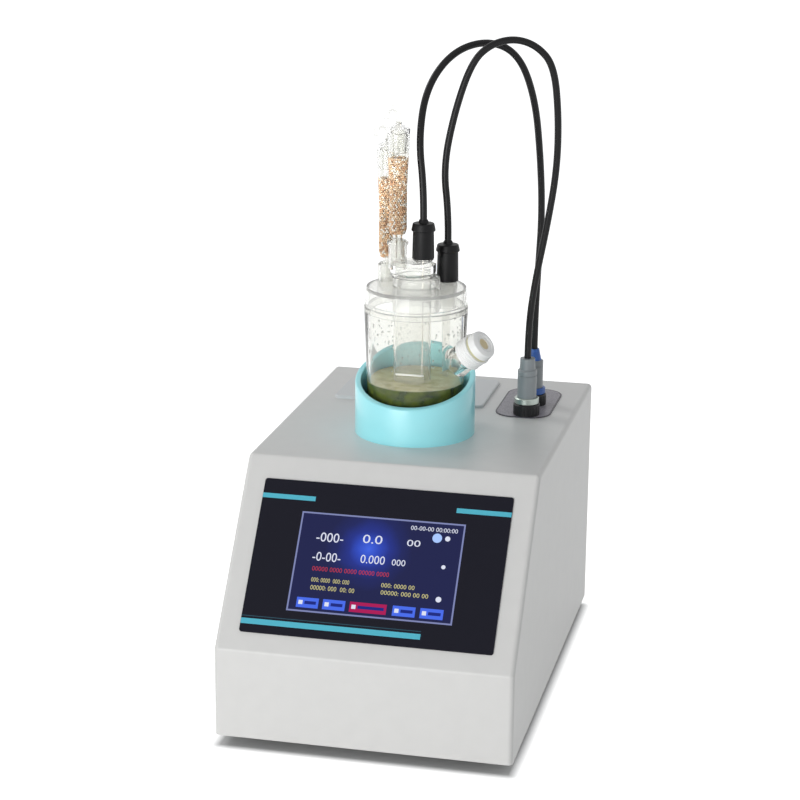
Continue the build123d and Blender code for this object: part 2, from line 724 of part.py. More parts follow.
def make_motor():
    motor = rod(MOTOR_R, CELL_X, CELL_Y, BRACKET_LOW_Z - MOTOR_H, BRACKET_LOW_Z)
    motor = fillet(motor.edges().group_by(Axis.Z)[0], 2.0)
    motor += rod(MOTOR_BOSS_R, CELL_X, CELL_Y, BRACKET_LOW_Z, BRACKET_TOP_Z + 1)
    motor -= rod(MOTOR_SHAFT_R + SHAFT_FIT, CELL_X, CELL_Y, BRACKET_LOW_Z - MOTOR_H / 2, BRACKET_TOP_Z + 2)
    return motor


ROTOR_TOP_Z = CEILING_Z - ROTOR_GAP
ROTOR_LOW_Z = ROTOR_TOP_Z - ROTOR_T


def magnet_places():
    return [(CELL_X + s * MAGNET_OFFSET, CELL_Y) for s in (-1, 1)]


def make_rotor():
    rotor = plate(ROTOR_L, ROTOR_W, ROTOR_W / 2 - 0.5, CELL_X, CELL_Y, ROTOR_LOW_Z, ROTOR_TOP_Z)
    rotor += rod(ROTOR_HUB_R, CELL_X, CELL_Y, BRACKET_TOP_Z + 3, ROTOR_TOP_Z)
    for x, y in magnet_places():
        rotor -= rod(MAGNET_R + SEAT, x, y, ROTOR_TOP_Z - MAGNET_T, ROTOR_TOP_Z + 1)
    rotor += rod(MOTOR_SHAFT_R, CELL_X, CELL_Y, BRACKET_LOW_Z - MOTOR_H / 2 + FIT, BRACKET_TOP_Z + 4)
    return rotor


def make_magnets():
    return Compound(children=[rod(MAGNET_R, x, y, ROTOR_TOP_Z - MAGNET_T, ROTOR_TOP_Z) for x, y in magnet_places()])


# ---------------------------------------------------------------- titration cell
PORT_AXIS = Location((CELL_X, CELL_Y, PORT_ROOT_Z), (0, 0, 0)) * Rot(0, 0, PORT_TURN) * Rot(0, 90 - PORT_RISE, 0)


def on_port(shape):
    """Place a piece built along +Z on the injection port's axis."""
    return PORT_AXIS * shape


def make_vessel():
    outer = rod(CELL_R, CELL_X, CELL_Y, CELL_BASE_Z, CELL_SEAM_Z)
    outer = fillet(outer.edges().group_by(Axis.Z)[0], CELL_EDGE_R)
    wall_at = CELL_R / math.cos(math.radians(PORT_RISE))
    root = wall_at - 2 * PORT_SHOULDER_L
    shoulder = Pos(0, 0, root) * Cylinder(
        PORT_SHOULDER_R, 2 * PORT_SHOULDER_L, align=(Align.CENTER, Align.CENTER, Align.MIN)
    )
    shoulder += Pos(0, 0, wall_at) * Cone(
        PORT_SHOULDER_R, PORT_R, PORT_SHOULDER_L, align=(Align.CENTER, Align.CENTER, Align.MIN)
    )
    arm = shoulder + rod(PORT_R, 0, 0, root, PORT_NECK_END)
    arm += rod(PORT_RING_R, 0, 0, PORT_RING_START, PORT_RING_START + PORT_RING_T)
    cavity = rod(CELL_R - GLASS, CELL_X, CELL_Y, CELL_FLOOR_Z, CELL_SEAM_Z + 1)
    cavity = fillet(cavity.edges().group_by(Axis.Z)[0], CELL_EDGE_R - GLASS)
    glass = outer + on_port(arm)
    glass -= cavity
    return glass - on_port(rod(PORT_BORE_R, 0, 0, CELL_R / 2, PORT_NECK_END + 1))


def make_electrolyte():
    gap = LIQUID_GAP
    liquid = rod(CELL_R - GLASS - gap, CELL_X, CELL_Y, CELL_FLOOR_Z + gap, LIQUID_Z)
    liquid = fillet(liquid.edges().group_by(Axis.Z)[0], CELL_EDGE_R - GLASS)
    sweep_h = 2 * BAR_R + 2 * BAR_GAP
    liquid -= rod(BAR_L / 2 + 2 * FIT, CELL_X, CELL_Y, CELL_FLOOR_Z, CELL_FLOOR_Z + sweep_h + FIT)
    liquid -= rod(CHAMBER_R + FIT, ELEC_X, ELEC_Y, CHAMBER_END_Z - FIT, LIQUID_Z + 1)
    tip = MEAS_END_Z - MEAS_PIN_L - FIT
    liquid -= rod(MEAS_ROD_R + FIT, MEAS_X, MEAS_Y, tip, LIQUID_Z + 1)
    return liquid


def make_stir_bar():
    z = CELL_FLOOR_Z + BAR_GAP + BAR_R
    bar = rod_x(BAR_R, CELL_X - BAR_L / 2, CELL_X + BAR_L / 2, CELL_Y, z)
    return fillet(bar.edges().filter_by(GeomType.CIRCLE), BAR_R - 0.4)


def make_lid():
    lid = rod(CELL_R, CELL_X, CELL_Y, CELL_SEAM_Z, LID_TOP_Z)
    lid = fillet(lid.edges().group_by(Axis.Z)[-1], 2.0)
    lid -= rod(CELL_R - GLASS, CELL_X, CELL_Y, CELL_SEAM_Z - 1, LID_TOP_Z - LID_TOP_T)
    lip = CELL_R - GLASS - FIT
    lid += pipe(lip, lip - LID_LIP_T, CELL_X, CELL_Y, CELL_SEAM_Z - LID_LIP_H, CELL_SEAM_Z)
    lid += pipe(CELL_R - GLASS / 2, lip - LID_LIP_T, CELL_X, CELL_Y, CELL_SEAM_Z, CELL_SEAM_Z + LID_LIP_T)
    low = CELL_SEAM_Z - SLEEVE_DROP
    bores = []
    for x, y, bore, wall, top in (
        (ELEC_X, ELEC_Y, CHAMBER_R + SLIP, COLLAR_WALL, LID_TOP_Z + COLLAR_H),
        (MEAS_X, MEAS_Y, MEAS_CONE_R + SLIP, MEAS_SLEEVE_WALL, LID_TOP_Z + MEAS_SLEEVE_RISE),
        (REAR_TUBE_X, REAR_TUBE_Y, CONE_R + SLIP, REAR_SLEEVE_WALL, LID_TOP_Z + REAR_SLEEVE_RISE),
    ):
        lid += rod(bore + wall, x, y, low, top)
        bores.append((x, y, bore, top))
    lid -= pipe(CELL_R + 1, lip, CELL_X, CELL_Y, low - 1, CELL_SEAM_Z)
    for x, y, bore, top in bores:
        lid -= rod(bore, x, y, low - 1, top + 1)
    return lid


def make_injection_cap():
    inner = PORT_RING_R - 1.2
    cap = lathe([
        (0, CAP_START), (CAP_SKIRT_R, CAP_START), (CAP_SKIRT_R, CAP_SKIRT_END), (CAP_GROOVE_R, CAP_SKIRT_END + 0.6),
        (CAP_GROOVE_R, CAP_HEAD_START - 0.4), (CAP_HEAD_R, CAP_HEAD_START),
        (CAP_HEAD_R, PORT_NECK_END + SEPTUM_T + CAP_FACE_T), (0, PORT_NECK_END + SEPTUM_T + CAP_FACE_T),
    ], 0, 0)
    cap = fillet(cap.edges().group_by(Axis.Z)[-1], 1.6)
    cap -= rod(inner, 0, 0, CAP_START - 1, PORT_NECK_END + SEPTUM_T)
    cap -= rod(CAP_HOLE_R, 0, 0, PORT_NECK_END, PORT_NECK_END + SEPTUM_T + CAP_FACE_T + 1)
    return on_port(cap)


def make_septum():
    return on_port(rod(SEPTUM_R, 0, 0, PORT_NECK_END, PORT_NECK_END + SEPTUM_T))


# ---------------------------------------------------------------- electrolysis electrode
HEAD_Z = LID_TOP_Z + COLLAR_H + SEAT
HEAD_TOP_Z = HEAD_Z + HEAD_H
TUBE_NECK_TOP_Z = HEAD_TOP_Z + TUBE_NECK_RISE


def make_electrolysis_electrode():
    r_in = CHAMBER_R - CHAMBER_WALL
    t = CHAMBER_WALL
    mid = HEAD_Z + HEAD_H / 2
    outer = lathe([
        (0, CHAMBER_END_Z), (CHAMBER_R, CHAMBER_END_Z), (CHAMBER_R, HEAD_Z), (HEAD_FLANGE_R, HEAD_Z),
        (HEAD_R, mid - 2), (HEAD_R, mid + 2), (HEAD_R - HEAD_ROUND, HEAD_TOP_Z), (0, HEAD_TOP_Z),
    ], ELEC_X, ELEC_Y)
    inner = lathe([
        (0, CHAMBER_END_Z - 1), (r_in, CHAMBER_END_Z - 1), (r_in, HEAD_Z), (HEAD_FLANGE_R - t, HEAD_Z + t),
        (HEAD_R - t, mid - 1), (HEAD_R - t, mid + 1), (HEAD_R - HEAD_ROUND - t, HEAD_TOP_Z - t), (0, HEAD_TOP_Z - t),
    ], ELEC_X, ELEC_Y)
    outer += rod(LEAD_NECK_R, LEAD_NECK_X, NECK_Y, HEAD_Z + t, HEAD_TOP_Z + LEAD_NECK_H)
    outer += rod(NECK_RIM_R, LEAD_NECK_X, NECK_Y, HEAD_TOP_Z - 1, HEAD_TOP_Z + NECK_RIM_H)
    outer += rod(TUBE_NECK_R, TUBE_NECK_X, NECK_Y, HEAD_Z + TUBE_NECK_R, TUBE_NECK_TOP_Z)
    outer += Pos(TUBE_NECK_X, NECK_Y, HEAD_Z + TUBE_NECK_R) * Sphere(TUBE_NECK_R)
    outer += rod(TUBE_NECK_R + 0.8, TUBE_NECK_X, NECK_Y, TUBE_NECK_TOP_Z - 2.5, TUBE_NECK_TOP_Z)
    glass = outer - inner
    glass -= rod(LEAD_NECK_R - t, LEAD_NECK_X, NECK_Y, mid, HEAD_TOP_Z + LEAD_NECK_H + 1)
    return glass - rod(CONE_R + FIT, TUBE_NECK_X, NECK_Y, mid, TUBE_NECK_TOP_Z + 1)


def make_diaphragm():
    r = CHAMBER_R - CHAMBER_WALL - SEAT
    return rod(r, ELEC_X, ELEC_Y, CHAMBER_END_Z, CHAMBER_END_Z + DIAPHRAGM_T)


def make_gauze():
    low = CHAMBER_END_Z + DIAPHRAGM_T + SEAT
    gauze = pipe(GAUZE_R, GAUZE_R - GAUZE_T, ELEC_X, ELEC_Y, low, low + GAUZE_H)
    reach = math.hypot(LEAD_NECK_X - ELEC_X, NECK_Y - ELEC_Y)
    wire = rod(WIRE_R, LEAD_NECK_X, NECK_Y, low + GAUZE_H / 2, HEAD_TOP_Z + LEAD_NECK_H)
    strap_turn = math.degrees(math.atan2(NECK_Y - ELEC_Y, LEAD_NECK_X - ELEC_X))
    strap = Box(abs(GAUZE_R - reach) + 1.0, 2.0, 2.0)
    place = Pos(ELEC_X, ELEC_Y, low + GAUZE_H - 3) * Rot(0, 0, strap_turn) * Pos((GAUZE_R + reach) / 2 - 0.3, 0, 0)
    return gauze + wire + place * strap


def make_electrode_cap(x, y, low, neck_r, neck_top):
    """Moulded cap on an electrode's neck, with the gland that its lead leaves by."""
    rim = low + CAP_BODY_H
    top = rim + CAP_RIM_H
    cap = rod(CAP_BODY_R, x, y, low, rim) + rod(CAP_RIM_R, x, y, rim, top)
    cap = fillet([e for e in cap.edges() if abs(e.center().Z - top) < 1e-3], 1.2)
    cap += Pos(x, y, top) * Cone(
        CAP_GLAND_R, LEAD_R + 0.8, CAP_GLAND_H, align=(Align.CENTER, Align.CENTER, Align.MIN)
    )
    return cap - rod(neck_r + SEAT, x, y, low - 1, neck_top + FIT)


ELEC_CAP_Z = HEAD_TOP_Z + NECK_RIM_H + SEAT
ELEC_LEAD_Z = ELEC_CAP_Z + CAP_BODY_H + CAP_RIM_H + CAP_GLAND_H
MEAS_SEAT_Z = LID_TOP_Z + MEAS_SLEEVE_RISE + SEAT
MEAS_CAP_Z = MEAS_SEAT_Z + SEAT
MEAS_LEAD_Z = MEAS_CAP_Z + CAP_BODY_H + CAP_RIM_H + CAP_GLAND_H


# ---------------------------------------------------------------- measuring electrode
def make_measuring_electrode():
    low = CELL_SEAM_Z - SLEEVE_DROP
    glass = rod(MEAS_ROD_R, MEAS_X, MEAS_Y, MEAS_END_Z, low + 2)
    glass += Pos(MEAS_X, MEAS_Y, low + 2) * Cone(
        MEAS_ROD_R, MEAS_CONE_R, 4.0, align=(Align.CENTER, Align.CENTER, Align.MIN)
    )
    glass += rod(MEAS_CONE_R, MEAS_X, MEAS_Y, low + 6, MEAS_SEAT_Z)
    glass += rod(MEAS_NECK_R, MEAS_X, MEAS_Y, MEAS_SEAT_Z, MEAS_SEAT_Z + MEAS_NECK_H)
    return fillet(glass.edges().group_by(Axis.Z)[0], 1.5)


def make_measuring_pins():
    pins = []
    for s in (-1, 1):
        x = MEAS_X + s * MEAS_PIN_GAP / 2
        pins.append(rod(MEAS_PIN_R, x, MEAS_Y, MEAS_END_Z - MEAS_PIN_L, MEAS_END_Z))
    return Compound(children=pins)


# ---------------------------------------------------------------- drying tubes
class TubePlace:
    """Where a drying tube stands: its axis, the joint's upper face and its lengths."""

    def __init__(self, x, y, joint_z, length, fill):
        self.x, self.y, self.joint_z, self.fill = x, y, joint_z, fill
        self.low = joint_z + STEM_L
        self.top = self.low + length


FRONT_TUBE = TubePlace(TUBE_NECK_X, NECK_Y, TUBE_NECK_TOP_Z, FRONT_TUBE_L, FRONT_FILL_L)
REAR_TUBE = TubePlace(REAR_TUBE_X, REAR_TUBE_Y, LID_TOP_Z + REAR_SLEEVE_RISE, REAR_TUBE_L, REAR_FILL_L)


def make_drying_tube(at):
    """Glass tube with a male joint below, and a socket for its stopper on top."""
    body = rod(TUBE_R, at.x, at.y, at.low, at.top)
    body = fillet(body.edges().group_by(Axis.Z)[0], TUBE_ROUND)
    inner = rod(TUBE_R - TUBE_WALL, at.x, at.y, at.low + TUBE_WALL + 0.6, at.top + 1)
    inner = fillet(inner.edges().group_by(Axis.Z)[0], TUBE_ROUND - TUBE_WALL)
    body += rod(STEM_R, at.x, at.y, at.joint_z, at.low + 1)
    body += rod(CONE_R, at.x, at.y, at.joint_z - CONE_L, at.joint_z)
    body += rod(CONE_R + 1.4, at.x, at.y, at.joint_z + SEAT, at.joint_z + SEAT + 1.2)
    body -= inner
    return body - rod(STEM_BORE_R, at.x, at.y, at.joint_z - CONE_L - 1, at.low + TUBE_ROUND)


def make_drying_agent(at):
    """Granules as one plain filling, under the stopper."""
    low = at.low + TUBE_WALL + 0.6 + SEAT
    fill = rod(TUBE_R - TUBE_WALL - SEAT, at.x, at.y, low, low + at.fill)
    return fillet(fill.edges().group_by(Axis.Z)[0], TUBE_ROUND - TUBE_WALL)


def make_stopper(at):
    """Ground stopper with a bent glass vent on top."""
    cone_r = TUBE_R - TUBE_WALL - SLIP
    stopper = rod(cone_r, at.x, at.y, at.top - STOPPER_L, at.top + SEAT)
    stopper += rod(STOPPER_RIM_R, at.x, at.y, at.top + SEAT, at.top + SEAT + STOPPER_RIM_T)
    base = at.top + SEAT + STOPPER_RIM_T
    shoulder = 5.0
    stopper += Pos(at.x, at.y, base) * Cone(
        STOPPER_RIM_R - 1.6, HOOK_R, shoulder, align=(Align.CENTER, Align.CENTER, Align.MIN)
    )
    bend_z = base + HOOK_RISE
    with BuildLine() as path:
        Line((at.x, at.y, base), (at.x, at.y, bend_z))
        ThreePointArc(
            (at.x, at.y, bend_z),
            (at.x - HOOK_BEND_R, at.y, bend_z + HOOK_BEND_R),
            (at.x - 2 * HOOK_BEND_R, at.y, bend_z),
        )
        Line((at.x - 2 * HOOK_BEND_R, at.y, bend_z), (at.x - 2 * HOOK_BEND_R, at.y, bend_z - HOOK_TAIL))
    start = Plane((at.x, at.y, base), z_dir=(0, 0, 1))
    stopper += sweep(start * Circle(HOOK_R), path=path.wire())
    stopper -= sweep(start * Circle(HOOK_BORE_R), path=path.wire())
    return stopper - rod(cone_r - 1.4, at.x, at.y, at.top - STOPPER_L - 1, at.top + SEAT + STOPPER_RIM_T - 1.4)


# ---------------------------------------------------------------- sockets, plugs and leads
def make_socket_plate():
    base = plate(PLATE_W, PLATE_D, PLATE_CORNER_R, PLATE_X, PLATE_Y, TOP_Z, PLATE_TOP_Z)
    for y in (MEAS_SOCKET_Y, ELEC_SOCKET_Y):
        base -= rod(BUSH_R + FIT, SOCKET_X, y, TOP_Z - 1, PLATE_TOP_Z + 1)
    return base


def make_socket(y):
    """Panel socket: threaded bush through the top, with its notched nut."""
    nut = rod(NUT_R, SOCKET_X, y, PLATE_TOP_Z, NUT_TOP_Z)
    nut = chamfer(nut.edges().group_by(Axis.Z)[-1], 0.6)
    for k in range(NUT_NOTCHES):
        turn = 2 * math.pi * k / NUT_NOTCHES
        nut -= rod(NUT_NOTCH_R, SOCKET_X + (NUT_R + 0.35) * math.cos(turn), y + (NUT_R + 0.35) * math.sin(turn),
                   PLATE_TOP_Z + 1, NUT_TOP_Z - 1.2)
    bush = rod(BUSH_R, SOCKET_X, y, PLATE_TOP_Z - BUSH_DROP, PLATE_TOP_Z)
    flange = rod(BUSH_R + 2, SOCKET_X, y, CEILING_Z - 2.5, CEILING_Z)
    bore = rod(PLUG_NOSE_R + SLIP, SOCKET_X, y, NUT_TOP_Z - PLUG_NOSE_L - FIT, NUT_TOP_Z + 1)
    return nut + bush + flange - bore


def make_plug(y, sleeve):
    """Plug: nose in the socket, body, and a plain sleeve where the plug has one."""
    low = NUT_TOP_Z + SEAT
    ring_top = low + PLUG_RING_H
    body_top = ring_top + PLUG_BODY_H - SEAT
    plug = rod(PLUG_NOSE_R, SOCKET_X, y, NUT_TOP_Z - PLUG_NOSE_L, ring_top)
    body = rod(PLUG_BODY_R, SOCKET_X, y, ring_top, body_top)
    body = chamfer(body.edges().group_by(Axis.Z)[-1], 0.8)
    groove_z = ring_top + 0.78 * PLUG_BODY_H
    body -= pipe(PLUG_BODY_R + 1, PLUG_BODY_R - 0.4, SOCKET_X, y, groove_z, groove_z + 0.8)
    plug += body
    if sleeve:
        plug += Pos(SOCKET_X, y, body_top) * Cone(
            PLUG_SLEEVE_R, PLUG_SLEEVE_R - 0.5, PLUG_TOP_Z - body_top, align=(Align.CENTER, Align.CENTER, Align.MIN)
        )
    return plug


def make_plug_ring(y):
    low = NUT_TOP_Z + SEAT
    ring = rod(PLUG_RING_R, SOCKET_X, y, low, low + PLUG_RING_H)
    ring = chamfer(ring.edges().filter_by(GeomType.CIRCLE), 0.7)
    return ring - rod(PLUG_NOSE_R + SHAFT_FIT, SOCKET_X, y, low - 1, low + PLUG_RING_H + 1)


def make_plug_boot(y):
    low = NUT_TOP_Z + PLUG_RING_H + PLUG_BODY_H
    return Pos(SOCKET_X, y, low) * Cone(
        PLUG_SLEEVE_R - 0.4, LEAD_R + 1.4, PLUG_TOP_Z - low, align=(Align.CENTER, Align.CENTER, Align.MIN)
    )


ELEC_ROUTE = [
    (LEAD_NECK_X, NECK_Y, ELEC_LEAD_Z), (LEAD_NECK_X, NECK_Y, 425), (-2.5, 5, 466), (-0.5, 22, 506),
    (17, 41, 534), (44, 56, 543), (68, 69, 531), (80, 85, 492), (83, 102, 440), (84.5, 110, 388),
    (82, 111, 338), (SOCKET_X, ELEC_SOCKET_Y, 297), (SOCKET_X, ELEC_SOCKET_Y, PLUG_TOP_Z),
]
MEAS_ROUTE = [
    (MEAS_X, MEAS_Y, MEAS_LEAD_Z), (MEAS_X, MEAS_Y, 402), (15, 22, 441), (23, 26, 487), (36, 30.5, 528),
    (51, 35, 542.5), (70, 40, 547), (88, 45, 540.5), (101, 50.5, 524), (104.5, 59, 482), (103, 68, 436),
    (95.5, 73, 388), (85.5, 76.5, 337), (SOCKET_X, MEAS_SOCKET_Y, 297),
    (SOCKET_X, MEAS_SOCKET_Y, PLUG_TOP_Z),
]
ARC_SHARE = 0.45


def make_lead(points, name):
    """Round lead: straight runs joined by tangent arcs as large as the runs allow."""
    spots = [Vector(*p) for p in points]
    runs = [(b - a) for a, b in zip(spots, spots[1:])]
    radii = []
    for before, after in zip(runs, runs[1:]):
        half = math.radians(before.get_angle(after)) / 2
        radii.append(ARC_SHARE * min(before.length, after.length) / math.tan(half))
    path = FilletPolyline(*spots, radius=radii)
    start = Plane(origin=spots[0], z_dir=runs[0])
    lead = sweep(start * Circle(LEAD_R), path=path)
    length = sum(e.length for e in path.edges())
    print(name, "radii", [round(r) for r in radii], "length", round(length, 1),
          "volume ratio", round(lead.volume / (math.pi * LEAD_R**2 * length), 4))
    return lead


# ---------------------------------------------------------------- printer
WINDOW_W = DOOR_W + 2 * DOOR_GAP
WINDOW_D = DOOR_D + 2 * DOOR_GAP
BEZEL_TOP_Z = TOP_Z + BEZEL_T
DOOR_LOW_Z = BEZEL_TOP_Z - DOOR_T
HINGE_Y = PRINTER_Y + DOOR_D / 2 - BARREL_R
HINGE_Z = BEZEL_TOP_Z - BARREL_R
SKIRT_LOW_Z = TOP_Z - SKIRT_H
BAY_FLOOR_Z = SKIRT_LOW_Z - BAY_DEPTH + SKIRT_H
ROLL_Y = PRINTER_Y + WINDOW_D / 2 - ROLL_R - FIT - 3.0
ROLL_Z = BAY_FLOOR_Z + BAY_WALL + ROLL_R + FIT
PLATEN_AXIS_Y = PRINTER_Y + PLATEN_Y
PLATEN_AXIS_Z = DOOR_LOW_Z - PLATEN_DROP


def make_bezel():
    bezel = plate(BEZEL_W, BEZEL_D, BEZEL_CORNER_R, PRINTER_X, PRINTER_Y, TOP_Z, BEZEL_TOP_Z)
    bezel = chamfer(bezel.edges().group_by(Axis.Z)[-1], 0.8)
    w = WINDOW_W / 2 + SKIRT_T
    d = WINDOW_D / 2 + SKIRT_T
    bezel += block(PRINTER_X - w, PRINTER_X + w, PRINTER_Y - d, PRINTER_Y + d, SKIRT_LOW_Z, TOP_Z)
    w, d = WINDOW_W / 2, WINDOW_D / 2
    bezel -= block(PRINTER_X - w, PRINTER_X + w, PRINTER_Y - d, PRINTER_Y + d, SKIRT_LOW_Z - 1, BEZEL_TOP_Z + 1)
    reach = WINDOW_W / 2 + SKIRT_T - 0.6
    return bezel - rod_x(HINGE_PIN_R + SHAFT_FIT, PRINTER_X - reach, PRINTER_X + reach, HINGE_Y, HINGE_Z)


def make_hinge_pin():
    reach = WINDOW_W / 2 + SKIRT_T - 0.8
    return rod_x(HINGE_PIN_R, PRINTER_X - reach, PRINTER_X + reach, HINGE_Y, HINGE_Z)


def make_bay():
    w = WINDOW_W / 2 + SKIRT_T
    d = WINDOW_D / 2 + SKIRT_T
    bay = block(PRINTER_X - w, PRINTER_X + w, PRINTER_Y - d, PRINTER_Y + d, BAY_FLOOR_Z, SKIRT_LOW_Z)
    w -= BAY_WALL
    d -= BAY_WALL
    return bay - block(PRINTER_X - w, PRINTER_X + w, PRINTER_Y - d, PRINTER_Y + d,
                       BAY_FLOOR_Z + BAY_WALL, SKIRT_LOW_Z + 1)


def make_print_head():
    front = PRINTER_Y - WINDOW_D / 2 - SKIRT_T + BAY_WALL
    back = PLATEN_AXIS_Y - PLATEN_R - HEAD_GAP
    top = SKIRT_LOW_Z
    head = block(PRINTER_X - ROLL_L / 2, PRINTER_X + ROLL_L / 2, front, back, top - HEAD_BLOCK_H, top)
    return head + block(PRINTER_X - ROLL_L / 2, PRINTER_X + ROLL_L / 2, back - 2.5, back, top, PLATEN_AXIS_Z + 1)


def make_door():
    front = PRINTER_Y - DOOR_D / 2
    low_x, high_x = PRINTER_X - DOOR_W / 2, PRINTER_X + DOOR_W / 2
    door = block(low_x, high_x, front, HINGE_Y, DOOR_LOW_Z, BEZEL_TOP_Z)
    door += rod_x(BARREL_R, low_x, high_x, HINGE_Y, HINGE_Z)
    for x in (PRINTER_X - PLATEN_L / 2 - SEAT - LUG_T, PRINTER_X + PLATEN_L / 2 + SEAT):
        door += block(x, x + LUG_T, PLATEN_AXIS_Y - 3, PLATEN_AXIS_Y + 3, PLATEN_AXIS_Z - 2.4, DOOR_LOW_Z)
    reach = PLATEN_L / 2 + LUG_T + 1
    door -= rod_x(PLATEN_AXLE_R + SHAFT_FIT, PRINTER_X - reach, PRINTER_X + reach, PLATEN_AXIS_Y, PLATEN_AXIS_Z)
    return door - rod_x(HINGE_PIN_R + SHAFT_FIT, low_x - 1, high_x + 1, HINGE_Y, HINGE_Z)


def make_platen():
    platen = rod_x(PLATEN_R, PRINTER_X - PLATEN_L / 2, PRINTER_X + PLATEN_L / 2, PLATEN_AXIS_Y, PLATEN_AXIS_Z)
    reach = PLATEN_L / 2 + LUG_T
    return platen + rod_x(PLATEN_AXLE_R, PRINTER_X - reach, PRINTER_X + reach, PLATEN_AXIS_Y, PLATEN_AXIS_Z)


def make_paper_roll():
    roll = rod_x(ROLL_R, PRINTER_X - ROLL_L / 2, PRINTER_X + ROLL_L / 2, ROLL_Y, ROLL_Z)
    return roll - rod_x(ROLL_BORE_R, PRINTER_X - ROLL_L, PRINTER_X + ROLL_L, ROLL_Y, ROLL_Z)


# ---------------------------------------------------------------- all nodes
def main():
    os.makedirs("parts", exist_ok=True)
    nodes = {
        "housing_shell": make_housing(),
        "base_plate": make_base(),
        "feet": make_feet(),
        "case_screws": make_case_screws(),
        "rear_panel": make_rear_panel(),
        "power_inlet": make_inlet(),
        "inlet_blades": make_inlet_blades(),
        "power_rocker": make_rocker(),
        "fuse_drawer": make_fuse_drawer(),
        "fuse": make_fuse(),
        "front_panel": make_front_panel(),
        "touch_glass": make_touch_glass(),
        "display_module": make_display_module(),
        "main_board": make_board(),
        "board_parts": make_board_parts(),
        "board_standoffs": make_standoffs(),
        "power_supply": make_supply(),
        "cell_holder": make_holder(),
        "holder_screws": make_holder_screws(),
        "motor_bracket": make_bracket(),
        "stirrer_motor": make_motor(),
        "magnet_rotor": make_rotor(),
        "rotor_magnets": make_magnets(),
        "stir_bar": make_stir_bar(),
        "cell_vessel": make_vessel(),
        "electrolyte": make_electrolyte(),
        "cell_lid": make_lid(),
        "injection_cap": make_injection_cap(),
        "injection_septum": make_septum(),
        "electrolysis_electrode": make_electrolysis_electrode(),
        "electrolysis_diaphragm": make_diaphragm(),
        "cathode_gauze": make_gauze(),
        "electrolysis_cap": make_electrode_cap(
            LEAD_NECK_X, NECK_Y, ELEC_CAP_Z, LEAD_NECK_R, HEAD_TOP_Z + LEAD_NECK_H
        ),
        "electrolysis_lead": make_lead(ELEC_ROUTE, "electrolysis_lead"),
        "electrolysis_plug": make_plug(ELEC_SOCKET_Y, sleeve=False),
        "electrolysis_plug_ring": make_plug_ring(ELEC_SOCKET_Y),
        "electrolysis_plug_boot": make_plug_boot(ELEC_SOCKET_Y),
        "measuring_electrode": make_measuring_electrode(),
        "measuring_pins": make_measuring_pins(),
        "measuring_cap": make_electrode_cap(MEAS_X, MEAS_Y, MEAS_CAP_Z, MEAS_NECK_R, MEAS_SEAT_Z + MEAS_NECK_H),
        "measuring_lead": make_lead(MEAS_ROUTE, "measuring_lead"),
        "measuring_plug": make_plug(MEAS_SOCKET_Y, sleeve=True),
        "measuring_plug_ring": make_plug_ring(MEAS_SOCKET_Y),
        "front_drying_tube": make_drying_tube(FRONT_TUBE),
        "front_drying_agent": make_drying_agent(FRONT_TUBE),
        "front_stopper": make_stopper(FRONT_TUBE),
        "rear_drying_tube": make_drying_tube(REAR_TUBE),
        "rear_drying_agent": make_drying_agent(REAR_TUBE),
        "rear_stopper": make_stopper(REAR_TUBE),
        "socket_plate": make_socket_plate(),
        "electrolysis_socket": make_socket(ELEC_SOCKET_Y),
        "measuring_socket": make_socket(MEAS_SOCKET_Y),
        "printer_bezel": make_bezel(),
        "printer_hinge_pin": make_hinge_pin(),
        "printer_bay": make_bay(),
        "print_head": make_print_head(),
        "printer_door": make_door(),
        "platen_roller": make_platen(),
        "paper_roll": make_paper_roll(),
    }
    for node, shape in nodes.items():
        write(shape, node)


main()
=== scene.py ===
"""Coulometric moisture titrator: finishes, glassware, granules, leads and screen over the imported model."""

from __future__ import annotations

import json
import logging
import math
import random
from dataclasses import dataclass, field
from enum import Enum

import bmesh
import bpy
from mathutils import Matrix, Vector

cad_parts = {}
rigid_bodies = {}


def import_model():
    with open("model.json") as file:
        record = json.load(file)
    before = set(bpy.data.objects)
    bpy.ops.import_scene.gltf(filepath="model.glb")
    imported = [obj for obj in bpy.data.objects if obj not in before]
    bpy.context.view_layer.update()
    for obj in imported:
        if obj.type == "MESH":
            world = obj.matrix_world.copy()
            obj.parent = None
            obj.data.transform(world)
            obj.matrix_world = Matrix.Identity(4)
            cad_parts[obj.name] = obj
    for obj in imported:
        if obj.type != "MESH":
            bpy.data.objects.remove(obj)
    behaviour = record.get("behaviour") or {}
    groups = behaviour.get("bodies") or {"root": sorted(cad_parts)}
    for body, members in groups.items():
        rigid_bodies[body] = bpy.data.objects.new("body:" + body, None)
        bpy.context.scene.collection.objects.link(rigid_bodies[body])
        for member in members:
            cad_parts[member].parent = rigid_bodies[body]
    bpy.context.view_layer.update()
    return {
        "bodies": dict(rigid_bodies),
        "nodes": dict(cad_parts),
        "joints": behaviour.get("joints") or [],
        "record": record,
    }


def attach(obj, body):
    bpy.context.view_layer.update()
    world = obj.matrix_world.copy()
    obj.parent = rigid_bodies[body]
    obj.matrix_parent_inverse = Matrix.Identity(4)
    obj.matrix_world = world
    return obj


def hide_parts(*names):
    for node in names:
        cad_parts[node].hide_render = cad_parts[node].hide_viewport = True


LOG = logging.getLogger("titrator")
MM = 0.001
Point = tuple[float, float, float]
Profile = list[tuple[float, float]]


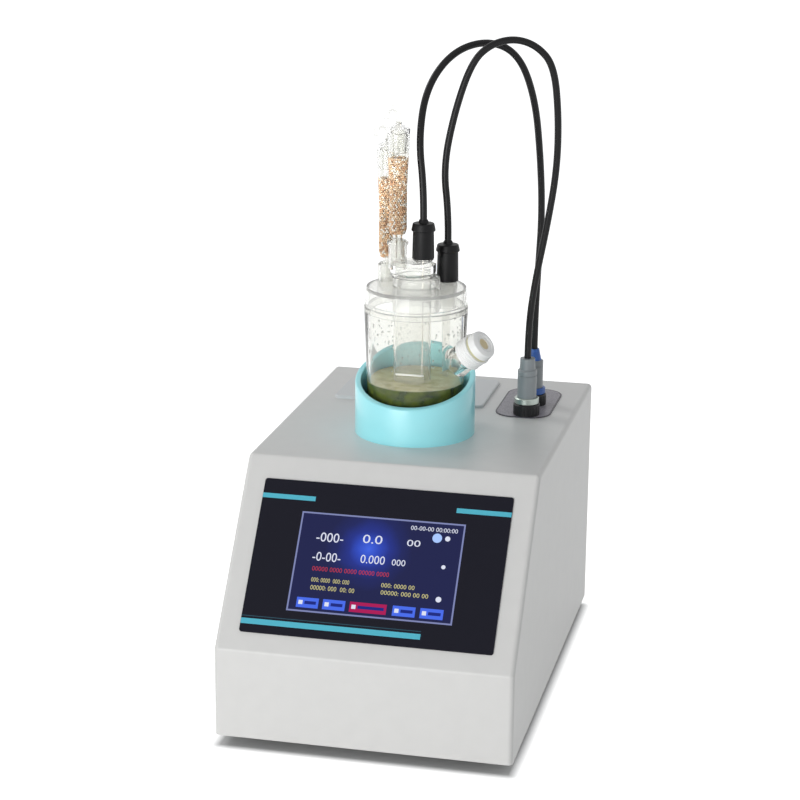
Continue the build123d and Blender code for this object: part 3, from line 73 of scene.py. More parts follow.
# ---------------------------------------------------------------- small helpers
def linear(code: str) -> tuple[float, float, float, float]:
    """Turn an sRGB hex colour linear.

    Args:
        code: six hex digits with a leading #.

    Returns:
        Linear red, green, blue and an alpha of 1.
    """
    parts = [int(code[i : i + 2], 16) / 255 for i in (1, 3, 5)]
    low = [c / 12.92 if c <= 0.04045 else ((c + 0.055) / 1.055) ** 2.4 for c in parts]
    return (low[0], low[1], low[2], 1.0)


def feed(tree: bpy.types.NodeTree, node: bpy.types.Node, sockets: dict) -> None:
    """Set or link a node's inputs.

    Args:
        tree: the node tree.
        node: the node.
        sockets: input name or number to a value, or to an output socket to link.
    """
    for key, value in sockets.items():
        if isinstance(value, bpy.types.NodeSocket):
            tree.links.new(value, node.inputs[key])
        else:
            node.inputs[key].default_value = value


def add(tree: bpy.types.NodeTree, kind: str, sockets: dict | None = None, **settings: object) -> bpy.types.Node:
    """Add one node, set its properties, and set or link its inputs.

    Args:
        tree: the node tree.
        kind: the node's type name.
        sockets: input name or number to a value, or to an output socket to link.
        settings: the node's own properties.

    Returns:
        The new node.
    """
    made = tree.nodes.new(kind)
    for key, value in settings.items():
        setattr(made, key, value)
    feed(tree, made, sockets or {})
    return made


def fade(
    tree: bpy.types.NodeTree, source: bpy.types.NodeSocket, stops: list[tuple[float, str]]
) -> bpy.types.NodeSocket:
    """Turn a value into a colour.

    Args:
        tree: the node tree.
        source: the value.
        stops: place and sRGB hex colour of each stop.

    Returns:
        The colour socket.
    """
    ramp = add(tree, "ShaderNodeValToRGB", {"Fac": source})
    band = ramp.color_ramp
    while len(band.elements) < len(stops):
        band.elements.new(0.5)
    for element, (place, code) in zip(band.elements, stops):
        element.position = place
        element.color = linear(code)
    return ramp.outputs["Color"]


def new_material(name: str) -> tuple[bpy.types.Material, bpy.types.NodeTree, bpy.types.Node, bpy.types.NodeSocket]:
    """Make a material with a Principled shader.

    Args:
        name: the material's name.

    Returns:
        The material, its tree, its shader and the Object coordinates.
    """
    made = bpy.data.materials.new(name)
    made.use_nodes = True
    tree = made.node_tree
    tree.nodes.clear()
    shader = add(tree, "ShaderNodeBsdfPrincipled")
    add(tree, "ShaderNodeOutputMaterial", {"Surface": shader.outputs["BSDF"]})
    coords = add(tree, "ShaderNodeTexCoord")
    return made, tree, shader, coords.outputs["Object"]


def grain(
    tree: bpy.types.NodeTree, coords: bpy.types.NodeSocket, size_mm: float, detail: float = 2.0
) -> bpy.types.NodeSocket:
    """Noise whose blotches are about size_mm across.

    Args:
        tree: the node tree.
        coords: Object coordinates, in metres.
        size_mm: the real size of one blotch.
        detail: the noise's detail.

    Returns:
        The noise value.
    """
    noise = add(tree, "ShaderNodeTexNoise", {"Vector": coords, "Scale": 1000.0 / size_mm, "Detail": detail})
    return noise.outputs["Fac"]


def bump(
    tree: bpy.types.NodeTree,
    shader: bpy.types.Node,
    height: bpy.types.NodeSocket,
    depth_mm: float,
    strength: float = 1.0,
) -> None:
    """Give a shader a relief.

    Args:
        tree: the node tree.
        shader: the Principled shader.
        height: the height, from 0 to 1.
        depth_mm: how deep the relief is.
        strength: the bump's strength.
    """
    made = add(tree, "ShaderNodeBump", {"Height": height, "Strength": strength, "Distance": depth_mm * MM})
    tree.links.new(made.outputs["Normal"], shader.inputs["Normal"])


def past_box(
    tree: bpy.types.NodeTree, spot: bpy.types.NodeSocket, half: tuple[float, float]
) -> bpy.types.NodeSocket:
    """Distance past a flat box that has its middle at 0.

    Args:
        tree: the node tree.
        spot: the place, in metres.
        half: half of the box's width and depth, in metres.

    Returns:
        The distance, 0 inside.
    """
    steps = (("MULTIPLY", (1.0, 1.0, 0.0)), ("ABSOLUTE", None), ("SUBTRACT", (*half, 0.0)), ("MAXIMUM", None))
    for step, other in steps:
        sockets = {0: spot} if other is None else {0: spot, 1: other}
        spot = add(tree, "ShaderNodeVectorMath", sockets, operation=step).outputs["Vector"]
    return add(tree, "ShaderNodeVectorMath", {0: spot}, operation="LENGTH").outputs["Value"]


# ---------------------------------------------------------------- finishes
@dataclass(frozen=True)
class Coating:
    """Paint, moulded plastic or rubber: one colour with slight mottling and a fine relief."""

    name: str
    colour: str
    roughness: float = 0.45
    grain_mm: float = 0.6
    relief_mm: float = 0.02
    mottle: float = 0.03
    coat: float = 0.0
    specular: float = 0.5

    def material(self) -> bpy.types.Material:
        """Build the material."""
        made, tree, shader, coords = new_material(self.name)
        base = linear(self.colour)
        cloud = grain(tree, coords, 14.0, 3.0)
        dark = tuple(c * (1 - self.mottle) for c in base[:3]) + (1.0,)
        light = tuple(min(1.0, c * (1 + self.mottle)) for c in base[:3]) + (1.0,)
        mix = add(tree, "ShaderNodeMix", {0: cloud, 6: dark, 7: light}, data_type="RGBA")
        sockets = {"Base Color": mix.outputs[2], "Roughness": self.roughness, "Specular IOR Level": self.specular}
        feed(tree, shader, sockets | {"Coat Weight": self.coat, "Coat Roughness": 0.12})
        if self.relief_mm:
            bump(tree, shader, grain(tree, coords, self.grain_mm), self.relief_mm, 0.6)
        return made


@dataclass(frozen=True)
class Glass:
    """Blown or drawn borosilicate glass, slightly milky, with very faint draw waves; its greyer tint at grazing view is
    painted shade along its outline.
    """

    name: str
    colour: str = "#FFFFFF"
    roughness: float = 0.0
    index: float = 1.36
    clear: float = 0.97
    wave_mm: float = 0.03
    # painted shade: the colour the glass takes at grazing view, for the grey along its outline
    edge: str = "#CCC9C0"
    shade: str = "#F4F5F5"

    def material(self) -> bpy.types.Material:
        """Build the material, which lets light through to what it holds."""
        made, tree, shader, coords = new_material(self.name)
        # the tint turns to the edge colour at grazing view: a painted shade along the glass's outline
        facing = add(tree, "ShaderNodeLayerWeight", {"Blend": 0.5}).outputs["Facing"]
        tint_with_painted_edge_shade = fade(tree, facing, [(0.68, self.colour), (0.97, self.edge)])
        sockets = {"Base Color": tint_with_painted_edge_shade, "Roughness": self.roughness, "IOR": self.index}
        feed(tree, shader, sockets | {"Transmission Weight": self.clear})
        if self.wave_mm:
            bump(tree, shader, grain(tree, coords, 16.0, 1.0), self.wave_mm, 0.25)
        ray = add(tree, "ShaderNodeLightPath")
        through = add(tree, "ShaderNodeBsdfTransparent", {"Color": linear(self.shade)})
        mix = add(
            tree,
            "ShaderNodeMixShader",
            {0: ray.outputs["Is Shadow Ray"], 1: shader.outputs["BSDF"], 2: through.outputs["BSDF"]},
        )
        out = next(node for node in tree.nodes if node.bl_idname == "ShaderNodeOutputMaterial")
        tree.links.new(mix.outputs["Shader"], out.inputs["Surface"])
        return made


@dataclass(frozen=True)
class RimPlate:
    """Speckled plate with a thin darker line along its rounded outline."""

    name: str
    colour: str
    speck: str
    rim: str
    centre: tuple[float, float]
    half: tuple[float, float]
    corner: float
    rim_mm: float = 1.1

    def material(self) -> bpy.types.Material:
        """Build the material."""
        made, tree, shader, coords = new_material(self.name)
        cx, cy = self.centre
        hx, hy = (h - self.corner for h in self.half)
        local = add(tree, "ShaderNodeVectorMath", {0: coords, 1: (cx * MM, cy * MM, 0.0)}, operation="SUBTRACT")
        reach = past_box(tree, local.outputs["Vector"], (hx * MM, hy * MM))
        inside = (self.corner - self.rim_mm) * MM
        edge = add(
            tree,
            "ShaderNodeMapRange",
            {"Value": reach, "From Min": inside - 0.3 * MM, "From Max": inside},
        )
        fleck = fade(tree, grain(tree, coords, 0.9, 3.0), [(0.42, self.speck), (0.58, self.colour)])
        mix = add(tree, "ShaderNodeMix", {0: edge.outputs["Result"], 6: fleck, 7: linear(self.rim)}, data_type="RGBA")
        feed(tree, shader, {"Base Color": mix.outputs[2], "Roughness": 0.42, "Specular IOR Level": 0.3})
        bump(tree, shader, grain(tree, coords, 0.5), 0.02, 0.5)
        return made


@dataclass(frozen=True)
class Metal:
    """Turned, rolled or plated metal with fine brush marks."""

    name: str
    colour: str
    roughness: float = 0.3
    brush_mm: float = 0.35

    def material(self) -> bpy.types.Material:
        """Build the material."""
        made, tree, shader, coords = new_material(self.name)
        feed(tree, shader, {"Base Color": linear(self.colour), "Metallic": 1.0})
        stretch = add(tree, "ShaderNodeMapping", {"Vector": coords, "Scale": (1.0, 1.0, 0.06)})
        marks = grain(tree, stretch.outputs["Vector"], self.brush_mm, 3.0)
        rough = add(
            tree,
            "ShaderNodeMapRange",
            {"Value": marks, "To Min": self.roughness * 0.8, "To Max": self.roughness * 1.25},
        )
        tree.links.new(rough.outputs["Result"], shader.inputs["Roughness"])
        bump(tree, shader, marks, 0.01, 0.4)
        return made


@dataclass(frozen=True)
class Liquid:
    """Olive reagent: dark through its depth, with a glossy surface whose paler colour on its upward faces is a painted
    reflection.
    """

    name: str
    deep: tuple[str, str] = ("#2E4200", "#5E6C08")
    # painted reflection: the paler colours given to the upward-facing liquid surface
    surface: tuple[str, str] = ("#B4AB62", "#DCD59A")

    def material(self) -> bpy.types.Material:
        """Build the material."""
        made, tree, shader, coords = new_material(self.name)
        cloud = grain(tree, coords, 9.0, 3.0)
        body = fade(tree, cloud, [(0.35, self.deep[0]), (0.65, self.deep[1])])
        top = fade(tree, cloud, [(0.35, self.surface[0]), (0.65, self.surface[1])])
        # upward faces take the surface colours: a painted reflection on the liquid's top
        facing = add(tree, "ShaderNodeNewGeometry").outputs["Normal"]
        upright = add(tree, "ShaderNodeSeparateXYZ", {"Vector": facing}).outputs["Z"]
        level = add(tree, "ShaderNodeMapRange", {"Value": upright, "From Min": 0.6, "From Max": 0.9})
        mix = add(tree, "ShaderNodeMix", {0: level.outputs["Result"], 6: body, 7: top}, data_type="RGBA")
        sockets = {"Base Color": mix.outputs[2], "Roughness": 0.15, "IOR": 1.33}
        feed(tree, shader, sockets | {"Transmission Weight": 0.3})
        return made


@dataclass(frozen=True)
class Glow:
    """Lit picture element of the screen."""

    name: str
    colour: str
    strength: float = 0.8

    def material(self) -> bpy.types.Material:
        """Build the material."""
        made, tree, shader, _ = new_material(self.name)
        lit = {"Emission Color": linear(self.colour), "Emission Strength": self.strength}
        feed(tree, shader, lit | {"Base Color": (0.0, 0.0, 0.0, 1.0), "Roughness": 0.25, "Specular IOR Level": 0.1})
        return made


@dataclass(frozen=True)
class ScreenGlass:
    """Touch screen: deep blue with a brighter glow across its middle, under glossy glass."""

    name: str
    centre: Point = (0.0, 0.0, 0.0)
    glow_r: float = 0.040

    def material(self) -> bpy.types.Material:
        """Build the material."""
        made, tree, shader, coords = new_material(self.name)
        place = add(tree, "ShaderNodeMapping", {"Vector": coords, "Location": tuple(-c for c in self.centre)})
        size = add(
            tree,
            "ShaderNodeVectorMath",
            {0: place.outputs["Vector"], 1: (1 / self.glow_r, 1 / self.glow_r, 1 / self.glow_r)},
            operation="MULTIPLY",
        )
        reach = add(tree, "ShaderNodeVectorMath", {0: size.outputs["Vector"]}, operation="LENGTH")
        cloud = grain(tree, coords, 18.0, 3.0)
        push = add(tree, "ShaderNodeMath", {0: cloud, 1: 0.2, 2: reach.outputs["Value"]}, operation="MULTIPLY_ADD")
        glow = fade(
            tree,
            push.outputs["Value"],
            [(0.1, "#4164E4"), (0.3, "#2E4ABF"), (0.5, "#223088"), (0.75, "#1C225A"), (1.0, "#1A1C45")],
        )
        lit = {"Emission Color": glow, "Emission Strength": 0.95}
        dark = {"Base Color": (0.004, 0.006, 0.02, 1.0), "Roughness": 0.08, "Specular IOR Level": 0.1}
        feed(tree, shader, lit | dark)
        return made


class Paint(Enum):
    """Every finish of the instrument."""

    CASE = Coating("light_grey_powder_coat", "#DBDAD8", 0.42, 0.9, 0.02, 0.03)
    DARK_SHEET = Coating("black_powder_coat", "#2A2B2D", 0.5, 0.7, 0.03, 0.05)
    FOOT = Coating("moulded_rubber", "#161616", 0.8, 0.5, 0.03, 0.1)
    BLACK = Coating("moulded_black_plastic", "#151517", 0.42, 0.4, 0.015, 0.08, specular=0.35)
    CAP_BLACK = Coating("moulded_cap_plastic", "#09090B", 0.45, 0.5, 0.02, 0.1, specular=0.22)
    FILM = Coating("printed_polyester_film", "#151520", 0.4, 0.3, 0.004, 0.04, specular=0.12)
    STRIPE = Coating("cyan_print", "#58BCD2", 0.4, 0.3, 0.0, 0.02, specular=0.2)
    DIM_STRIPE = Coating("dim_teal_print", "#2A4C5C", 0.4, 0.3, 0.0, 0.02, specular=0.2)
    CYAN = Coating("turquoise_holder_enamel", "#A2F0F8", 0.3, 1.4, 0.01, 0.02, 0.5)
    WHITE_CAP = Coating("translucent_white_cap", "#FAFAF9", 0.25, 0.8, 0.01, 0.02, 0.4)
    SEPTUM = Coating("natural_rubber", "#E8D8B0", 0.6, 0.4, 0.02, 0.08)
    PTFE = Coating("stir_bar_ptfe", "#ECECEA", 0.35, 0.6, 0.01, 0.02)
    FRIT = Coating("sintered_frit", "#E3DFD2", 0.8, 0.3, 0.05, 0.08)
    LEAD = Coating("cable_jacket", "#09090B", 0.38, 0.5, 0.02, 0.1, specular=0.25)
    PLUG_GREY = Coating("grey_plug_plastic", "#8A9093", 0.38, 0.4, 0.015, 0.05)
    PLUG_BLUE = Coating("blue_plug_plastic", "#2F62B4", 0.4, 0.4, 0.015, 0.05)
    SOCKET_PLATE = RimPlate(
        "purplish_grey_plate", "#A09CA3", "#7F7B84", "#4A474F", (76.85, 112.0), (24.35, 47.0), 18.0
    )
    PRINTER = Coating("cool_grey_moulding", "#D3D5D6", 0.4, 0.5, 0.02, 0.02)
    CAP_BAND = Coating("cream_sealing_band", "#D0CCA4", 0.4, 0.5, 0.01, 0.05)
    PAPER = Coating("thermal_paper", "#F1F0EA", 0.7, 0.4, 0.01, 0.02)
    BOARD = Coating("green_solder_mask", "#14502C", 0.35, 0.5, 0.01, 0.06)
    PARTS = Coating("component_bodies", "#222326", 0.4, 0.4, 0.01, 0.1)
    MODULE = Coating("display_frame", "#63666A", 0.45, 0.5, 0.01, 0.04)
    ACETAL = Coating("acetal_rotor", "#DEDDD8", 0.45, 0.5, 0.01, 0.02)
    STEEL = Metal("zinc_plated_steel", "#B9BBBC", 0.34)
    SCREW = Metal("zinc_screw", "#A8A9AA", 0.3)
    ALUMINIUM = Metal("satin_aluminium", "#BFC1C4", 0.32)
    BRASS = Metal("turned_brass", "#C9AE6A", 0.28)
    PLATINUM = Metal("platinum", "#C9C6C0", 0.22)
    NICKEL = Metal("nickel_plated_magnet", "#C4C3BF", 0.2)
    RING_SILVER = Metal("satin_coupling_ring", "#A9B2AC", 0.36)
    # each glass's edge colour is painted shade along its outline at grazing view
    GLASS = Glass("borosilicate_glass", "#F1F1EE", index=1.27, edge="#D8D6D0")
    HEAD_GLASS = Glass("blown_head_glass", "#FAFAF8", 0.0, 1.25, 0.94, 0.05, "#DCDAD3")
    LID_GLASS = Glass("ground_lid_glass", "#FBFBF9", 0.03, 1.2, 0.84, 0.05, "#E6E5E0")
    FUSE_GLASS = Glass("fuse_glass", wave_mm=0.0)
    FROST = Glass("ground_glass_joint", "#F6F6F3", 0.16, 1.3, 0.86)
    LIQUID = Liquid("olive_reagent")
    WHITE_LIGHT = Glow("screen_white", "#E4E8F8", 0.95)
    LAMP_LIGHT = Glow("screen_lamp", "#A9C8FF", 1.0)
    YELLOW_LIGHT = Glow("screen_yellow", "#D8D090", 0.9)
    RED_LIGHT = Glow("screen_red", "#C23A50", 0.9)
    BLUE_KEY = Glow("screen_blue_key", "#4A6EF0", 0.95)
    RED_KEY = Glow("screen_red_key", "#B01858", 0.95)
    KEY_MARK = Glow("screen_key_mark", "#1B2A86", 0.9)
    FRAME_LIGHT = Glow("screen_border", "#8E96C8", 0.8)
    BEAD_TAN = Coating("bead_tan", "#EACDAA", 0.55, 0.5, 0.02, 0.1)
    BEAD_WHITE = Coating("bead_white", "#FFF7EC", 0.55, 0.5, 0.02, 0.06)
    BEAD_BROWN = Coating("bead_brown", "#C49A78", 0.55, 0.5, 0.02, 0.1)
    BEAD_ORANGE = Coating("bead_orange", "#EBC096", 0.55, 0.5, 0.02, 0.1)


MADE: dict[str, bpy.types.Material] = {}


def paint(which: Paint) -> bpy.types.Material:
    """Give the material of a finish, made once."""
    if which.name not in MADE:
        MADE[which.name] = which.value.material()
    return MADE[which.name]


# ---------------------------------------------------------------- shapes
def lathe(profile: Profile, x: float, y: float, steps: int = 96, closed: bool = False) -> bmesh.types.BMesh:
    """Spin a profile round a vertical axis.

    Args:
        profile: radius and height of each point, in mm.
        x: the axis's place across, in mm.
        y: the axis's depth, in mm.
        steps: faces round the axis.
        closed: whether the profile's last point joins its first.

    Returns:
        The closed surface, normals outwards.
    """
    bm = bmesh.new()
    rings = [bm.verts.new(((x + r) * MM, y * MM, z * MM)) for r, z in profile]
    edges = [bm.edges.new(pair) for pair in zip(rings, rings[1:])]
    if closed:
        edges.append(bm.edges.new((rings[-1], rings[0])))
    bmesh.ops.spin(
        bm, geom=rings + edges, cent=(x * MM, y * MM, 0), axis=(0, 0, 1), angle=2 * math.pi, steps=steps, use_merge=True
    )
    bmesh.ops.remove_doubles(bm, verts=bm.verts, dist=1e-6)
    bmesh.ops.recalc_face_normals(bm, faces=bm.faces)
    return bm


def rounded(profile: Profile, radii: dict[int, float], steps: int = 5) -> Profile:
    """Round some corners of a profile.

    Args:
        profile: the corner points.
        radii: corner number to its radius in mm.
        steps: pieces in each arc.

    Returns:
        The profile with its arcs.
    """
    out: Profile = []
    for i, spot in enumerate(profile):
        radius = radii.get(i, 0.0)
        if not radius:
            out.append(spot)
            continue
        here = Vector(spot)
        before = (Vector(profile[i - 1]) - here).normalized()
        after = (Vector(profile[(i + 1) % len(profile)]) - here).normalized()
        half = before.angle(after) / 2
        cut = radius / math.tan(half)
        centre = here + (before + after).normalized() * (radius / math.sin(half))
        first = here + before * cut - centre
        last = here + after * cut - centre
        for k in range(steps + 1):
            out.append(tuple(centre + first.slerp(last, k / steps)))
    return out


def slab(
    x0: float, x1: float, y0: float, y1: float, z0: float, z1: float, edge: float = 0.0
) -> bmesh.types.BMesh:
    """A plate, with its upper edge softened if wanted, in mm.

    Args:
        x0: left side.
        x1: right side.
        y0: front side.
        y1: back side.
        z0: lower face.
        z1: upper face.
        edge: radius of the upper edge.

    Returns:
        The plate.
    """
    bm = bmesh.new()
    bmesh.ops.create_cube(bm, size=1.0)
    bmesh.ops.scale(bm, vec=((x1 - x0) * MM, (y1 - y0) * MM, (z1 - z0) * MM), verts=bm.verts)
    bmesh.ops.translate(
        bm, vec=((x0 + x1) / 2 * MM, (y0 + y1) / 2 * MM, (z0 + z1) / 2 * MM), verts=bm.verts
    )
    if edge:
        top = [e for e in bm.edges if min(v.co.z for v in e.verts) > z1 * MM - 1e-6]
        bmesh.ops.bevel(bm, geom=top, offset=edge * MM, segments=3, profile=0.5, affect="EDGES", material=-1)
    return bm


def bend_tube(path: list[Vector], radius: float, sides: int = 20) -> bmesh.types.BMesh:
    """A solid round bar along a path.

    Args:
        path: points in metres.
        radius: in mm.
        sides: faces round it.

    Returns:
        The bar, closed at both ends.
    """
    bm = bmesh.new()
    along = (path[1] - path[0]).normalized()
    turn = Vector((0, 0, 1)).rotation_difference(along)
    place = Matrix.Translation(path[0]) @ turn.to_matrix().to_4x4()
    disc = bmesh.ops.create_circle(bm, cap_ends=True, segments=sides, radius=radius * MM, matrix=place)
    face = disc["verts"][0].link_faces[0]
    for before, after in zip(path, path[1:]):
        made = bmesh.ops.extrude_discrete_faces(bm, faces=[face])
        face = made["faces"][0]
        step = after - before
        nxt = step.normalized()
        spin = along.rotation_difference(nxt)
        bmesh.ops.rotate(bm, cent=before, matrix=spin.to_matrix(), verts=face.verts)
        bmesh.ops.translate(bm, vec=step, verts=face.verts)
        along = nxt
    bmesh.ops.recalc_face_normals(bm, faces=bm.faces)
    return bm


def join(first: bmesh.types.BMesh, *others: bmesh.types.BMesh) -> bmesh.types.BMesh:
    """Put several shapes in one."""
    for other in others:
        spare = bpy.data.meshes.new("spare")
        other.to_mesh(spare)
        other.free()
        first.from_mesh(spare)
        bpy.data.meshes.remove(spare)
    return first


def piece(
    name: str,
    bm: bmesh.types.BMesh,
    finish: Paint,
    body: str,
    replaces: tuple[str, ...] = (),
    sharp: float = 32.0,
) -> bpy.types.Object:
    """Make an object of a shape, dress it and let it ride on its body.

    Args:
        name: the piece's name.
        bm: its shape, freed here.
        finish: its finish.
        body: the body that it rides on.
        replaces: nodes that it stands for.
        sharp: edges sharper than this, in degrees, stay crisp.

    Returns:
        The object.
    """
    mesh = bpy.data.meshes.new(name)
    bm.to_mesh(mesh)
    bm.free()
    mesh.shade_smooth()
    mesh.set_sharp_from_angle(angle=math.radians(sharp))
    made = bpy.data.objects.new(name, mesh)
    bpy.context.scene.collection.objects.link(made)
    mesh.materials.append(paint(finish))
    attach(made, body)
    if replaces:
        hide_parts(*replaces)
    LOG.info("piece %s on %s", name, body)
    return made


def dress(frame: dict, finish: Paint, *nodes: str) -> None:
    """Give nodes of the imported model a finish.

    Args:
        finish: the finish.
        nodes: the nodes' names.
    """
    for node in nodes:
        target = frame["nodes"][node]
        if not target.material_slots:
            target.data.materials.append(None)
        for place in target.material_slots:
            place.material = paint(finish)
        LOG.info("node %s dressed", node)


# ---------------------------------------------------------------- studio
@dataclass
class Studio:
    """Floor, backdrop light, lamps and camera."""

    azimuth: float = 12.85
    elevation: float = 16.0
    roll: float = 0.51
    distance: float = 1.862
    target: Point = (-0.0051, -0.044, 0.2569)
    focal_px: float = 2254.0
    picture_px: float = 800.0
    floor_half: tuple[float, float] = (0.118, 0.19)
    # the floor's white lift fades out over this reach round the case's footprint and is gone under it: a painted shadow
    painted_shadow_reach: float = 0.009
    floor_lift: float = 0.8
    world_light: float = 0.46
    lamps: tuple[tuple[str, Point, float, float], ...] = (
        ("key", (-0.8, -2.4, 0.1), 1.4, 54.0),
        ("fill", (2.0, -0.9, 0.7), 1.2, 0.5),
        ("top", (-1.1, 0.5, 1.2), 0.5, 4.0),
    )

    def camera(self) -> None:
        """Stand the camera at its place and make it the scene's."""
        az, el, roll = (math.radians(v) for v in (self.azimuth, self.elevation, self.roll))
        back = Vector((math.sin(az) * math.cos(el), -math.cos(az) * math.cos(el), math.sin(el)))
        right = (-back).cross(Vector((0, 0, 1))).normalized()
        up = right.cross(-back)
        right, up = right * math.cos(roll) + up * math.sin(roll), up * math.cos(roll) - right * math.sin(roll)
        place = Vector(self.target) + back * self.distance
        lens = bpy.data.cameras.new("camera")
        lens.sensor_width = 36.0
        lens.lens = 36.0 * self.focal_px / self.picture_px
        lens.clip_end = 20.0
        made = bpy.data.objects.new("camera", lens)
        made.matrix_world = Matrix(
            [(right[i], up[i], back[i], place[i]) for i in range(3)] + [(0.0, 0.0, 0.0, 1.0)]
        )
        bpy.context.scene.collection.objects.link(made)
        bpy.context.scene.camera = made

    def seen(self, tree: bpy.types.NodeTree) -> bpy.types.NodeSocket:
        """Tell the rays that show the backdrop from those that light the object.

        Args:
            tree: the node tree.

        Returns:
            1 on camera, glossy and transmission rays.
        """
        ray = add(tree, "ShaderNodeLightPath")
        direct = add(
            tree,
            "ShaderNodeMath",
            {0: ray.outputs["Is Camera Ray"], 1: ray.outputs["Is Transmission Ray"]},
            operation="MAXIMUM",
        )
        both = add(
            tree, "ShaderNodeMath", {0: direct.outputs["Value"], 1: ray.outputs["Is Glossy Ray"]}, operation="MAXIMUM"
        )
        return both.outputs["Value"]

    def floor(self) -> None:
        """Lay the pale floor, which is white to the camera and grey to the object's light; its white lift fades out
        near the case and is gone under it, a painted shadow.
        """
        bm = bmesh.new()
        bmesh.ops.create_grid(bm, x_segments=1, y_segments=1, size=9.0)
        mesh = bpy.data.meshes.new("floor")
        bm.to_mesh(mesh)
        bm.free()
        made = bpy.data.objects.new("floor", mesh)
        bpy.context.scene.collection.objects.link(made)
        mat = bpy.data.materials.new("pale_floor")
        mat.use_nodes = True
        tree = mat.node_tree
        tree.nodes.clear()
        matt = add(tree, "ShaderNodeBsdfDiffuse", {"Color": linear("#F4F4F3")})
        spot = add(tree, "ShaderNodeTexCoord").outputs["Object"]
        # the lift is 0 within the case's footprint and rises over the reach: painted shadow under and round the case
        ramp = {"Value": past_box(tree, spot, self.floor_half), "From Max": self.painted_shadow_reach}
        rise = add(tree, "ShaderNodeMapRange", ramp | {"To Max": self.floor_lift})
        lift = add(tree, "ShaderNodeEmission", {"Color": (1.0, 1.0, 1.0, 1.0), "Strength": rise.outputs["Result"]})
        both = add(tree, "ShaderNodeAddShader", {0: matt.outputs["BSDF"], 1: lift.outputs["Emission"]})
        seen = self.seen(tree)
        mix = add(tree, "ShaderNodeMixShader", {0: seen, 1: matt.outputs["BSDF"], 2: both.outputs[0]})
        add(tree, "ShaderNodeOutputMaterial", {"Surface": mix.outputs["Shader"]})
        mesh.materials.append(mat)

    def light(self) -> None:
        """Set the world and the lamps."""
        world = bpy.data.worlds.new("studio")
        bpy.context.scene.world = world
        world.use_nodes = True
        tree = world.node_tree
        tree.nodes.clear()
        seen = self.seen(tree)
        soft = add(tree, "ShaderNodeBackground", {"Color": linear("#F1F4F6"), "Strength": self.world_light})
        white = add(tree, "ShaderNodeBackground", {"Color": (1.0, 1.0, 1.0, 1.0), "Strength": 1.0})
        mix = add(tree, "ShaderNodeMixShader", {0: seen, 1: soft.outputs[0], 2: white.outputs[0]})
        add(tree, "ShaderNodeOutputWorld", {"Surface": mix.outputs["Shader"]})
        aim = Vector((0, 0, 0.2))
        for name, place, size, power in self.lamps:
            lamp = bpy.data.lights.new(name, "AREA")
            lamp.size = size
            lamp.energy = power
            made = bpy.data.objects.new(name, lamp)
            made.location = place
            made.rotation_euler = (aim - Vector(place)).to_track_quat("-Z", "Y").to_euler()
            bpy.context.scene.collection.objects.link(made)

    def build(self) -> None:
        """Build the whole studio."""
        bpy.context.scene.view_settings.view_transform = "Standard"
        self.camera()
        self.floor()
        self.light()


# ---------------------------------------------------------------- leads
@dataclass
class Lead:
    """One electrode lead, from its cap to its plug."""

    name: str
    node: str
    body: str
    length: float
    route: list[Point]
    plug_nodes: tuple[str, ...]
    radius: float = 3.0

    def build(self, frame: dict) -> None:
        """Make the lead as one smooth curve.
        """
        curve = bpy.data.curves.new(self.name, "CURVE")
        curve.dimensions = "3D"
        curve.bevel_depth = self.radius * MM
        curve.bevel_resolution = 6
        curve.resolution_u = 14
        curve.use_fill_caps = True
        spline = curve.splines.new("NURBS")
        spline.points.add(len(self.route) - 1)
        for spot, place in zip(spline.points, self.route):
            spot.co = (place[0] * MM, place[1] * MM, place[2] * MM, 1.0)
        spline.order_u = 3
        spline.use_endpoint_u = True
        made = bpy.data.objects.new(self.name, curve)
        bpy.context.scene.collection.objects.link(made)
        curve.materials.append(paint(Paint.LEAD))
        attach(made, self.body)
        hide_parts(self.node)
        LOG.info("lead %s", self.name)


ELECTROLYSIS_LEAD = Lead(
    name="electrolysis_cable",
    node="electrolysis_lead",
    body="electrolysis_electrode",
    length=479.2,
    route=[
        (3.5, 0, 398.2), (3.5, 0, 425), (-2.5, 5, 466), (-0.5, 22, 506), (17, 41, 534), (44, 56, 543),
        (68, 69, 531), (80, 85, 492), (83, 102, 440), (84.5, 110, 388), (82, 111, 338), (80.6, 110.5, 297),
        (80.6, 110.5, 267.6),
    ],
    plug_nodes=("electrolysis_plug", "electrolysis_plug_ring", "electrolysis_plug_boot"),
)
MEASURING_LEAD = Lead(
    name="measuring_cable",
    node="measuring_lead",
    body="measuring_electrode",
    length=493.3,
    route=[
        (19.8, 22.2, 378.8), (19.8, 22.2, 402), (15, 22, 441), (23, 26, 487), (36, 30.5, 528), (51, 35, 542.5),
        (70, 40, 547), (88, 45, 540.5), (101, 50.5, 524), (104.5, 59, 482), (103, 68, 436), (95.5, 73, 388),
        (85.5, 76.5, 337), (80.6, 76.5, 297), (80.6, 76.5, 267.6),
    ],
    plug_nodes=("measuring_plug", "measuring_plug_ring"),
)


